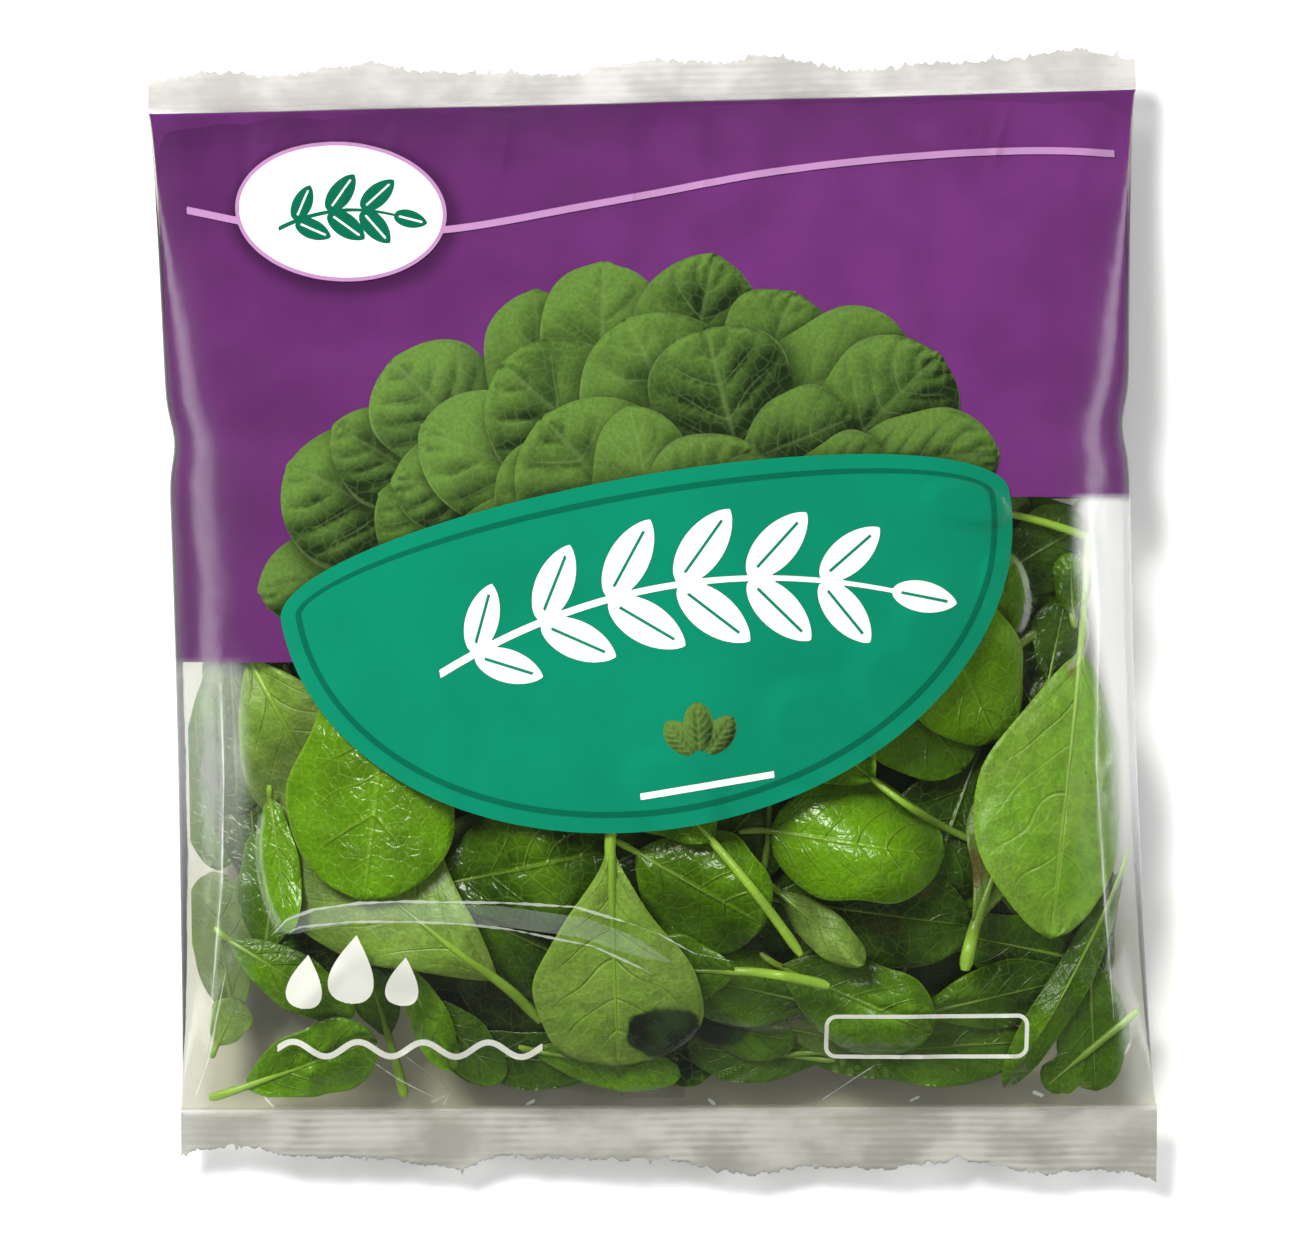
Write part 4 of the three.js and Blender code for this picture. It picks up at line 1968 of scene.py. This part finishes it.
            self.tube.lay(draft, lambda x, y: leaf.inside(x, y), depths[order], 0, shading)
        draft.build("leaf_fan_print", finish.leaf, "print")

    def build_plaque(self, finish: PrintFinish) -> None:
        """Makes the plaque with its line and the sprig on it.

        Args:
            finish: the inks.
        """
        def on_line(x: Array, y: Array) -> Array:
            """Returns how far inside the plaque's line each place lies."""
            return self.plaque_line - np.abs(self.plaque.inside(x, y) - self.plaque_inset)

        self.stamp("plaque_print", finish.plaque, self.plaque.inside, InkDepth.PLAQUE)
        self.stamp("plaque_line_print", finish.line, on_line, InkDepth.LINE, 2)
        self.stamp("sprig_print", finish.white, self.title.inside, InkDepth.MOTIF, 2)

    def build_badge(self, finish: PrintFinish) -> None:
        """Makes the badge with its rim and sprig.

        Args:
            finish: the inks.
        """
        def on_rim(x: Array, y: Array) -> Array:
            """Returns how far inside the badge and its rim each place lies."""
            return self.badge.inside(x, y) + self.badge_rim

        self.stamp("badge_rim_print", finish.stripe, on_rim, InkDepth.BADGE_RIM, 1)
        self.stamp("badge_print", finish.white, self.badge.inside, InkDepth.BADGE, 1)
        self.stamp("badge_sprig_print", finish.line, self.badge_sprig.inside, InkDepth.MOTIF, 3)

    def build_marks(self, finish: PrintFinish) -> None:
        """Makes the small leaf emblem, the rule, the drops, the ripple and the empty frame.

        Args:
            finish: the inks.
        """
        (x0, y0), blade = self.emblem
        emblem = MeshDraft()
        for order, (lean, size) in enumerate(((40, 0.85), (-34, 0.9), (4, 1.0))):
            turn = 90 + lean
            reach = blade * size * 0.5 + 2.5
            leaf = SpinachLeaf(
                x0 + reach * math.cos(math.radians(turn)), y0 - 6.5 + reach * math.sin(math.radians(turn)),
                blade * size, blade * size * 0.62, turn, base=0.7, tip=0.6, tone=0.6, wave=0.0,
            )

            def shading(x: Array, y: Array) -> dict[str, Array]:
                """Returns the leaf's own places and how the light falls on it.

                Args:
                    x: places across the pack.
                    y: places along the pack.

                Returns:
                    The named values.
                """
                along, across, lit = leaf.printed_light(x, y)
                return {
                    "along": along, "across": across, "tone": 0.7 + lit,
                    "under": 0.0, "stalk": 0.0, "rot": 0.0, "shade": 0.0,
                }

            self.tube.lay(emblem, leaf.inside, InkDepth.LINE.value - order * 0.02, 2, shading)
        emblem.build("emblem_print", finish.leaf, "print")
        marks = MeshDraft()
        start, end = np.array(self.rule[0]), np.array(self.rule[1])
        run = (end - start) / np.linalg.norm(end - start)
        half = np.linalg.norm(end - start) / 2
        middle = (start + end) / 2

        def on_rule(x: Array, y: Array) -> Array:
            """Returns how far inside the short rule each place lies.

            Args:
                x: places across the pack.
                y: places along the pack.

            Returns:
                The distances inside.
            """
            along = (x - middle[0]) * run[0] + (y - middle[1]) * run[1]
            aside = (y - middle[1]) * run[0] - (x - middle[0]) * run[1]
            return np.minimum(self.rule_half - np.abs(aside), half - np.abs(along))

        def on_frame(x: Array, y: Array) -> Array:
            """Returns how far inside the frame's line each place lies.

            Args:
                x: places across the pack.
                y: places along the pack.

            Returns:
                The distances inside.
            """
            mx, my, half_x, half_y = self.frame_box
            corner = 2.0
            past_x = np.maximum(np.abs(x - mx) - half_x + corner, 0)
            past_y = np.maximum(np.abs(y - my) - half_y + corner, 0)
            inner = np.minimum(np.maximum(np.abs(x - mx) - half_x, np.abs(y - my) - half_y) + corner, 0)
            return self.frame_line - np.abs(np.hypot(past_x, past_y) + inner - corner)

        def on_ripple(x: Array, y: Array) -> Array:
            """Returns how far inside the ripple each place lies.

            Args:
                x: places across the pack.
                y: places along the pack.

            Returns:
                The distances inside.
            """
            first, last, level, rise = self.ripple
            turns = 2 * math.pi * (x - first) / self.ripple_pitch
            slope = rise * 2 * math.pi / self.ripple_pitch * np.cos(turns)
            off = np.abs(y - level - rise * np.sin(turns)) / np.sqrt(1 + slope**2)
            return np.minimum(self.ripple_half - off, np.minimum(x - first, last - x))

        def on_drops(x: Array, y: Array) -> Array:
            """Returns how far inside the water drops each place lies.

            Args:
                x: places across the pack.
                y: places along the pack.

            Returns:
                The distances inside.
            """
            marks_at = [
                SpinachLeaf(drop_x, drop_y, size, size * 0.62, 82, base=0.5, tip=1.1, wave=0.0)
                for drop_x, drop_y, size in self.drops
            ]
            return np.max([drop.inside(x, y) for drop in marks_at], axis=0)

        for keep in (on_rule, on_frame, on_ripple, on_drops):
            self.tube.lay(marks, keep, InkDepth.MOTIF.value, 2)
        marks.build("small_marks_print", finish.white, "print")


def smooth_line(points: tuple[Point, ...], count: int) -> Array:
    """Returns points spaced along a smooth curve through the given ones.

    Args:
        points: the points that the curve passes through.
        count: how many points to return.

    Returns:
        The points of the curve.
    """
    given = np.array(points)
    gaps = np.concatenate([[0], np.cumsum(np.linalg.norm(np.diff(given, axis=0), axis=1))])
    wanted = np.linspace(0, gaps[-1], count)
    slope = np.gradient(given, gaps, axis=0)
    index = np.clip(np.searchsorted(gaps, wanted, side="right") - 1, 0, len(given) - 2)
    width = (gaps[index + 1] - gaps[index])[:, None]
    t = (wanted - gaps[index])[:, None] / width
    start, end = given[index], given[index + 1]
    first, second = slope[index] * width, slope[index + 1] * width
    cubic = (2 * t**3 - 3 * t**2 + 1) * start + (t**3 - 2 * t**2 + t) * first
    return cubic + (3 * t**2 - 2 * t**3) * end + (t**3 - t**2) * second


TOP, UNDER = LeafSide.TOP, LeafSide.UNDER

PACK_LEAVES = [
    SpinachLeaf(-54, -30, 53, 35, -97, 6, TOP, base=0.75, tone=0.8, puffed=0.35, wave=0.7),
    SpinachLeaf(-7.7, -68.5, 43, 33, -88, 13, UNDER, base=1.3, tip=0.5, tone=0.5, puffed=0.5,
                stem_radius=1.5, spoiled=((2.5, -83.0, 8.5, 6.0, 1.0),)),
    SpinachLeaf(82, -36, 57, 28, -96, 24, UNDER, base=0.85, tip=0.65, skew=-0.24, puffed=0.7, wave=1.3,
                tone=0.1, stem_radius=1.0, spoiled=((83.0, -10.5, 1.1, 2.4, -0.5),)),
    SpinachLeaf(82, -72.5, 50, 15, -118, 4, TOP, fold=55, base=0.9, tone=0.35, bow=0.1),
    SpinachLeaf(-74, -50, 27, 8, -82, 3, TOP, fold=20, tone=1.0, base=0.6),
    SpinachLeaf(-53.4, -54.2, 56, 31, 141, 13, UNDER, base=1.0, puffed=0.5, bow=0.03, stem_radius=1.35),
    SpinachLeaf(-68.9, -29, 46, 27, -61, 4, UNDER, base=0.95, puffed=0.4, stem_radius=1.25),
    SpinachLeaf(69, -47.5, 28, 17, 70, 10, UNDER, base=1.4, fold=12, stem_radius=1.6,
                spoiled=((63.4, -50.3, 2.6, 5.0, -0.6),)),
    SpinachLeaf(6.4, -70.5, 19, 14, 180, 19, TOP, tone=0.5, stem_radius=1.25),
    SpinachLeaf(4, -36, 22, 18, 132, 29, TOP, tone=0.5, stem_radius=1.15),
    SpinachLeaf(33.4, -24, 26, 20, 140, 27, TOP, tone=0.6, stem_radius=0.9,
                spoiled=((63.4, -50.3, 3.5, 5.0, -0.6),)),
    SpinachLeaf(60.5, -9, 36, 24, -64, 4, TOP, tone=0.95, puffed=0.3, base=0.7),
    SpinachLeaf(52, -18, 32, 24, -52, 5, TOP, tone=0.85, puffed=0.9),
    SpinachLeaf(9.4, -54, 29, 25, -30, 5, TOP, tone=0.65, puffed=0.5),
    SpinachLeaf(40.4, -45, 35, 25, -8, 6, TOP, tone=0.95, puffed=0.4, base=0.6),
    SpinachLeaf(33.4, -62, 22, 9, -40, 3, UNDER, fold=25),
    SpinachLeaf(40.6, -76.5, 33, 19, -24, 5, TOP, tone=0.6, puffed=1.3, wave=1.4),
    SpinachLeaf(68.4, -76, 31, 14, 12, 4, TOP, fold=24, tone=0.5, puffed=0.9),
    SpinachLeaf(19.4, -74.5, 28, 15, 168, 5, TOP, tone=0.65, puffed=1.2, wave=1.2),
    SpinachLeaf(69.4, 4, 18, 10, 96, 3, TOP, tone=0.85, puffed=1.2),
    SpinachLeaf(62, 22, 18, 9, 168, 20, TOP, tone=0.6, stem_radius=1.05),
    SpinachLeaf(83.2, 6.5, 12, 7.5, 92, 3, TOP, tone=0.4, puffed=0.9),
    SpinachLeaf(80.4, -5, 16, 11, 78, 4, TOP, tone=0.35, puffed=1.0),
    SpinachLeaf(66, -13, 10, 7, 230, 9, TOP, tone=0.6, stem_radius=1.3),
    SpinachLeaf(82.4, -91.5, 10, 8, -140, 24, TOP, tone=0.5, stem_radius=1.0),
    SpinachLeaf(88, -82, 27, 15, -86, 3, TOP, fold=16, tone=0.6),
    SpinachLeaf(-68.3, -89.6, 28, 16, 20, 13, TOP, tone=0.75, puffed=0.9, stem_radius=1.1),
    SpinachLeaf(-72, -72.5, 29, 12, -32, 4, TOP, fold=20, tone=0.7),
    SpinachLeaf(-85, -81.5, 10, 9, 62, 3, UNDER, wave=1.2),
    SpinachLeaf(-75.5, -54, 26, 16, 82, 4, TOP, tone=0.9),
    SpinachLeaf(-9.2, -89.6, 30, 11, -10, 3, TOP, fold=26, tone=0.75),
    SpinachLeaf(17, -82.8, 24, 11, -12, 2, TOP, tone=0.5, spoiled=((13, -81.5, 7.5, 6, 1.0),)),
    SpinachLeaf(33, -84, 15, 8, -14, 2, UNDER, fold=20),
    SpinachLeaf(-45, -80, 24, 9, -66, 3, TOP, fold=24, tone=0.85),
    SpinachLeaf(-38, -85, 23, 11, -48, 3, TOP, fold=12, tone=0.7),
    SpinachLeaf(-55, -77, 14, 9, 106, 14, TOP, tone=0.5, stem_radius=1.2),
    # Each leaf lies under those listed before it. Many of the last, deepest ones take low tones, which are
    # partly painted shade.
    SpinachLeaf(-27, -88.5, 31, 13, -8, 4, TOP, fold=20, tone=0.35),
    SpinachLeaf(-26, -50, 37, 25, 12, 6, TOP, tone=0.35, puffed=1.2),
    SpinachLeaf(-24, -65, 34, 20, -26, 6, TOP, tone=0.4, puffed=0.6),
    SpinachLeaf(43.4, -59, 40, 20, -8, 5, TOP, tone=0.3, wave=1.6, puffed=0.7,
                spoiled=((53.0, -54.0, 4.0, 3.0, -0.35), (46.0, -61.0, 6.0, 3.5, -0.28))),
    SpinachLeaf(72.5, -66, 24, 13, 168, 4, TOP, tone=0.4, puffed=0.9),
    SpinachLeaf(52, -86.6, 46, 16, 3, 5, TOP, tone=0.6, puffed=1.0, wave=1.3),
    SpinachLeaf(23, -31, 14, 11, 90, 18, TOP, tone=0.5, stem_radius=0.85),
    SpinachLeaf(-83.5, -19, 42, 15, -88, 4, TOP, tone=0.3),
    SpinachLeaf(75.5, 12, 26, 16, 30, 5, TOP, tone=0.4, puffed=0.6),
    SpinachLeaf(78, -22, 36, 26, -60, 6, TOP, tone=0.15, puffed=0.7),
    SpinachLeaf(-62, -66, 30, 20, 150, 5, TOP, tone=0.15),
    SpinachLeaf(-2, -46, 28, 22, 30, 6, TOP, tone=0.2),
    SpinachLeaf(60, -40, 34, 24, -110, 5, TOP, tone=0.25),
    SpinachLeaf(86, -62, 34, 15, -100, 5, TOP, tone=0.35),
    SpinachLeaf(20, -87.6, 27, 12, 174, 3, TOP, tone=0.45, puffed=0.9),
    SpinachLeaf(-80, -40, 34, 16, 96, 5, TOP, tone=0.25),
    SpinachLeaf(-88, -32, 38, 13, -86, 4, TOP, tone=0.8),
    SpinachLeaf(-86, -66, 30, 14, 98, 4, UNDER, tone=0.5),
]

# Each fold's fourth value, where it has one, is the half width of its painted highlight line.
FILM_CREASES = [
    Crease(((-76.4, -64.3), (-72.5, -60.2), (-66.8, -58.0), (-58, -56.7), (-49.2, -56.3), (-30, -56.5),
            (-15.4, -57.3), (-5.4, -60.3), (7.6, -65.1)), 0.12, 0.9, 0.3),
    Crease(((-76.4, -64.3), (-69.6, -61.6), (-60, -60.5), (-49.2, -60.3), (-38, -60.7), (-29, -61.7),
            (-12, -65.1), (-2, -69.7), (3.4, -72.9)), 0.12, 0.9, 0.26),
    Crease(((9.4, -95.5), (21.4, -89.9)), 0.4, 0.9),
    Crease(((33.4, -97.5), (45.4, -88.9)), 0.4, 0.9, 0.14),
    Crease(((50.4, -97), (43.4, -86.9)), 0.4, 0.9),
    Crease(((88.4, -33.5), (92.4, -28.5), (95.5, -29.9)), 0.8, 1.3),
    Crease(((89.4, -37.5), (93.4, -34.9), (96, -35.9)), 0.7, 1.3),
    Crease(((-86, -6), (-85.2, -32.9), (-85.6, -52.9), (-88, -76.9), (-90, -94)), 0.7, 1.5, 0.16),
    Crease(((-92, -97), (-89, -88.9), (-84.6, -68.9)), 0.7, 1.2, 0.24),
    Crease(((-57.6, -87.9), (-50.6, -93), (-42, -97.5)), 0.4, 0.9, 0.16),
    Crease(((-50.6, -86.9), (-43.6, -92.5), (-39, -97.5)), 0.4, 0.9, 0.13),
    Crease(((0, -62), (8, -66.5), (17, -68.5)), 0.5, 1.5, 0.16),
    Crease(((86, 30), (88.5, 0), (88, -30), (90, -60), (93, -90)), 0.6, 1.6, 0.14),
]


# Painted sheen: a faint whitish band between the two long folds.
FILM_FOLD_SHEEN = Crease(((-76, -63), (-69, -60.4), (-58, -58.6), (-49.2, -58.3), (-30, -59.2), (-14, -61.4),
                    (-3, -65.4), (6, -69.6)), 0.0, 1.0, 2.0)
# Painted glints: short whitened strokes near the bottom seal that stand in for glints on crumpled film,
# each given by its two ends and its half width.
FLECKS = (
    (-78, -96.5, -75.8, -98.8, 0.36), (-44.5, -97.6, -41.5, -96.2, 0.42),
    (-42, -98.4, -41, -95.8, 0.3), (-25.5, -98.2, -23.6, -97.0, 0.32),
    (11, -96.8, 12.6, -98.2, 0.34), (51.4, -97.4, 53.6, -96.2, 0.36),
    (76, -95.4, 78.4, -96.4, 0.4), (94.4, -88, 95.6, -85.4, 0.3),
)
FILM_GLINTS = [
    Crease(((x, y), (end_x, end_y)), 0.0, 1.0, half) for x, y, end_x, end_y, half in FLECKS
]


def shine_on(leaves: bpy.types.Object) -> None:
    """Sets the lamp whose light glints on wet leaves, which the film doesn't mirror.

    Args:
        leaves: the piece that glints.
    """
    lamp = Lamp("leaf_glint_box", (-0.3, 0.5, 1.0), (0, 0, 0), (0.5, 0.3), 18.0).build()
    lamp.visible_diffuse = False
    chosen = bpy.data.collections.new("glinting_leaves")
    chosen.objects.link(leaves)
    lamp.light_linking.receiver_collection = chosen


@dataclass
class SpinachPack:
    """The whole pack: film, seals, print and leaves."""

    seed: int = 11
    front_fill: int = 52
    back_fill: int = 56
    fill_low: float = -95.0
    fill_high: float = 66.0
    form: PackForm = field(default_factory=PackForm)

    def add_relief(self) -> None:
        """Gives the film its folds, its swell and the leaves that press on it."""
        rng = np.random.default_rng(self.seed)
        self.form.presses = PACK_LEAVES[:PRESSING_LEAVES]
        for _ in range(7):
            angle, length = rng.uniform(0, math.pi), rng.uniform(34, 80)
            pitch = 2 * math.pi / length
            rise, phase = rng.uniform(0.15, 0.4), rng.uniform(0, 6.28)
            self.form.swell.append((rise, pitch * math.cos(angle), pitch * math.sin(angle), phase))
        self.form.creases = list(FILM_CREASES)
        for end in (TOP_END, BOTTOM_END):
            for _ in range(15):
                x = rng.uniform(-90, 90)
                length, lean = rng.uniform(8, 24), rng.uniform(-5, 5)
                start = (x, float(end.line(np.array(x))) - end.sign * 1.0)
                finish = (x + lean, start[1] - end.sign * length)
                rise, width = rng.uniform(0.3, 0.7), rng.uniform(0.8, 1.5)
                self.form.creases.append(Crease((start, finish), rise, width))
            for corner, way in ((end.left, 1), (end.right, -1)):
                for spread in (0.45, 1.0):
                    length = rng.uniform(20, 38)
                    finish = (corner[0] + way * (4 + length * spread), corner[1] - end.sign * length)
                    start = (corner[0] + way * 4, corner[1] - end.sign * 3)
                    self.form.creases.append(Crease((start, finish), rng.uniform(0.3, 0.6), 2.2))

    def fits(self, leaf: SpinachLeaf) -> bool:
        """Returns whether a leaf's blade and stem stay clear of the pack's edges.

        Args:
            leaf: the leaf.

        Returns:
            Whether they do.
        """
        along = np.array([-0.9 * leaf.stem / leaf.length, 0.0, 0.3, 0.3, 0.6, 0.6, 1.0])
        aside = leaf.width / 2 * np.array([0, 0, 1, -1, 0.9, -0.9, 0])
        x, y = leaf.place(along, aside)
        left, right = self.form.sides(self.form.share_at(x, y))
        held = (x > left + 7) & (x < right - 5)
        return bool(np.all(held & (y > self.fill_low) & (y < self.fill_high)))

    def filler(self, count: int, rng: np.random.Generator) -> list[SpinachLeaf]:
        """Draws leaves scattered over the pack.

        Args:
            count: how many.
            rng: where the draws come from.

        Returns:
            The leaves.
        """
        made = []
        while len(made) < count:
            length = rng.uniform(26, 50)
            leaf = SpinachLeaf(
                x=rng.uniform(-82, 84),
                y=rng.uniform(self.fill_low, self.fill_high),
                length=length,
                width=length * rng.uniform(0.5, 0.74),
                turn=rng.uniform(-180, 180),
                stem=rng.uniform(4, 20),
                side=LeafSide.UNDER if rng.uniform() < 0.3 else LeafSide.TOP,
                fold=rng.uniform(0, 24),
                puffed=rng.uniform(0.3, 0.9),
                bow=rng.uniform(-0.1, 0.1),
                base=rng.uniform(0.6, 1.1),
                tip=rng.uniform(0.45, 0.7),
                tone=rng.uniform(0.05, 0.6),
                wave=rng.uniform(0.5, 1.6),
            )
            if self.fits(leaf):
                made.append(leaf)
        return made

    def build_leaves(self, material: Material) -> None:
        """Lays the leaves against the front and the back film.

        Args:
            material: their look.
        """
        rng = np.random.default_rng(self.seed + 1)
        shown, hidden = MeshDraft(), MeshDraft()
        pile = LeafPile(self.form, True)
        for index, leaf in enumerate(PACK_LEAVES):
            leaf.seed = index
            pile.lay(leaf, shown, True)
        for index, leaf in enumerate(self.filler(self.front_fill, rng)):
            leaf.seed = 100 + index
            pile.lay(leaf, hidden, False)
        shine_on(shown.build("leaves_at_front", material, "leaf"))
        under = LeafPile(self.form, False)
        for index, leaf in enumerate(self.filler(self.back_fill, rng)):
            leaf.seed = 200 + index
            under.lay(leaf, hidden, False)
        hidden.build("leaves_within", material, "leaf")


@dataclass(frozen=True)
class Lamp:
    """A soft box: where it stands, what it points at, its size, power and whether it mirrors."""

    name: str
    place: Triple
    target: Triple
    size: Point
    power: float
    mirrored: bool = True

    def build(self) -> bpy.types.Object:
        """Returns the lamp.

        Returns:
            The lamp.
        """
        lamp = bpy.data.lights.new(self.name, "AREA")
        lamp.shape = "RECTANGLE"
        lamp.size, lamp.size_y = self.size
        lamp.energy = self.power
        holder = bpy.data.objects.new(self.name, lamp)
        bpy.context.scene.collection.objects.link(holder)
        holder.location = self.place
        aim = Vector(self.target) - Vector(self.place)
        holder.rotation_euler = aim.to_track_quat("-Z", "Y").to_euler()
        holder.visible_glossy = self.mirrored
        return holder


@dataclass
class Studio:
    """The pale floor, the soft surroundings, the lamps and the camera."""

    floor_colour: Colour = (0.93, 0.93, 0.93)
    overhead: float = 0.03
    horizon: float = 0.16
    underneath: float = 0.75
    distance: float = 1.6
    plane: float = 0.015
    across: float = 0.2592
    middle: Point = (-0.001, -0.0005)
    lamps: tuple[Lamp, ...] = (
        Lamp("key_box", (-0.5, 0.62, 1.0), (0, 0, 0), (0.4, 0.4), 23.5, False),
        Lamp("overhead_box", (0.1, 0.1, 1.9), (0, 0, 0), (1.6, 1.6), 5.0, False),
        Lamp("front_box", (0.25, -0.9, 0.9), (0, -0.04, 0), (0.6, 0.4), 4.2, False),
        Lamp("left_strip", (-1.0, 0.0, 0.2), (0, 0, 0.02), (1.3, 0.24), 4.2),
        Lamp("right_strip", (1.0, -0.05, 0.2), (0, 0, 0.02), (1.3, 0.24), 4.2),
        Lamp("right_box", (1.0, -0.1, 0.6), (0.05, 0, 0), (0.4, 0.4), 3.2, False),
    )

    def build(self) -> None:
        """Makes the whole studio."""
        scene = bpy.context.scene
        scene.view_settings.view_transform = "Standard"
        scene.view_settings.look = "None"
        scene.cycles.max_bounces = 4
        scene.cycles.diffuse_bounces = 2
        scene.cycles.glossy_bounces = 1
        scene.cycles.transparent_max_bounces = 8
        scene.cycles.caustics_reflective = False
        scene.cycles.caustics_refractive = False
        for lamp in self.lamps:
            lamp.build()
        self.build_floor()
        self.build_world()
        self.build_camera()

    def build_floor(self) -> None:
        """Makes the floor, just under the pack."""
        bpy.ops.mesh.primitive_plane_add(size=8, location=(0, 0, -0.0002))
        floor = bpy.context.object
        floor.name = "floor"
        paper = bpy.data.materials.new("pale_floor")
        paper.use_nodes = True
        surface = paper.node_tree.nodes["Principled BSDF"]
        surface.inputs["Base Color"].default_value = (*self.floor_colour, 1)
        surface.inputs["Roughness"].default_value = 0.8
        surface.inputs["Specular IOR Level"].default_value = 0.1
        floor.data.materials.append(paper)
        floor.visible_glossy = False

    def build_world(self) -> None:
        """Makes the surroundings, which are darker overhead than near the horizon."""
        world = bpy.data.worlds.new("studio")
        bpy.context.scene.world = world
        world.use_nodes = True
        kit = NodeKit(world.node_tree)
        split = kit.add("SeparateXYZ")
        kit.feed(split.inputs[0], kit.add("TexCoord").outputs["Generated"])
        above = kit.span(split.outputs["Z"], 0.15, 0.75, self.horizon, self.overhead)
        below = kit.span(split.outputs["Z"], -0.55, -0.15, self.underneath, 0.0)
        kit.feed(world.node_tree.nodes["Background"].inputs["Strength"], kit.plus(above, below))
        world.node_tree.nodes["Background"].inputs["Color"].default_value = (1, 1, 1, 1)

    def build_camera(self) -> None:
        """Sets the camera straight above the pack, as far off as keeps the photograph's flat view."""
        camera = bpy.data.cameras.new("camera")
        camera.lens = 36 * (self.distance - self.plane) / self.across
        camera.clip_end = 20
        holder = bpy.data.objects.new("camera", camera)
        bpy.context.scene.collection.objects.link(holder)
        holder.location = (*self.middle, self.distance)
        bpy.context.scene.camera = holder


def main() -> None:
    """Builds the pack piece by piece."""
    logging.basicConfig(level=logging.INFO, format="%(name)s: %(message)s")
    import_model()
    Studio().build()
    pack = SpinachPack()
    pack.add_relief()
    tissue, crinkle, mottle = leaf_tissue_group(), film_crinkle_group(), ink_mottle_group()
    leaf_material = LeafFinish(
        "fresh_leaf", deep=srgb(18, 44, 2), fresh=srgb(93, 139, 8), pale=srgb(126, 147, 70),
        vein=srgb(138, 174, 58), vein_strength=0.26, relief=0.8,
    ).build(tissue)
    front_film = FilmFinish(
        "front_film", through=(0.968, 0.975, 0.925), haze=0.002, haze_colour=(0.93, 0.94, 0.92),
        gloss=0.2, index=1.5, crinkle=0.35, edge=(0.97, 0.98, 0.96), edge_haze=0.62,
    ).build(crinkle)
    back_film = FilmFinish(
        "back_film", through=(0.62, 0.61, 0.52), haze=0.02, haze_colour=(0.5, 0.5, 0.48),
        gloss=0.25, index=1.4, crinkle=0.4, edge=(0.93, 0.94, 0.9), edge_haze=0.3,
    ).build(crinkle)
    crimp = seal_crimp_group()
    top_film = SealFinish(
        "top_crimped_film", srgb(168, 166, 160), srgb(202, 200, 194), cover=0.78, ribs=0.6
    ).build(crimp)
    bottom_film = SealFinish(
        "bottom_crimped_film", srgb(142, 141, 130), srgb(182, 181, 171), cover=0.68, ribs=1.0
    ).build(crimp)
    seam_film = SealFinish(
        "seam_film", srgb(158, 157, 148), srgb(186, 185, 178), cover=0.42, ribs=0.5
    ).build(crimp)
    tube = FilmTube(pack.form)
    tube.build(front_film, back_film)
    tube.build_seam(seam_film)
    # Painted highlights along the sharp folds, and a fainter painted sheen between the two long ones.
    tube.build_fold_lines(
        InkFinish("crease_highlight_film", srgb(236, 240, 244), 0.42, 0.0).build(mottle),
        InkFinish("fold_sheen_film", srgb(214, 222, 226), 0.13, 0.1).build(mottle),
    )
    CrimpedSeal(pack.form, TOP_END, seed=5).build("top_seal", top_film)
    CrimpedSeal(pack.form, BOTTOM_END, seed=8).build("bottom_seal", bottom_film)
    PackPrint(tube).build(PrintFinish(
        header=InkFinish("header_ink", srgb(104, 44, 114), 0.9, 0.1).build(mottle),
        plaque=InkFinish("plaque_ink", srgb(2, 127, 99), 0.97, 0.03).build(mottle),
        line=InkFinish("plaque_line_ink", srgb(0, 94, 72), 1.0, 0.02).build(mottle),
        stripe=InkFinish("stripe_ink", srgb(175, 128, 180), 1.0, 0.02).build(mottle),
        white=InkFinish("white_ink", srgb(246, 246, 244), 1.0, 0.01).build(mottle),
        leaf=LeafFinish(
            "printed_leaf", deep=srgb(24, 40, 16), fresh=srgb(90, 122, 52), pale=srgb(110, 132, 64),
            vein=srgb(116, 140, 84), vein_strength=0.24, relief=0.0,
        ).build(tissue),
    ))
    pack.build_leaves(leaf_material)


if __name__ == "__main__":
    main()
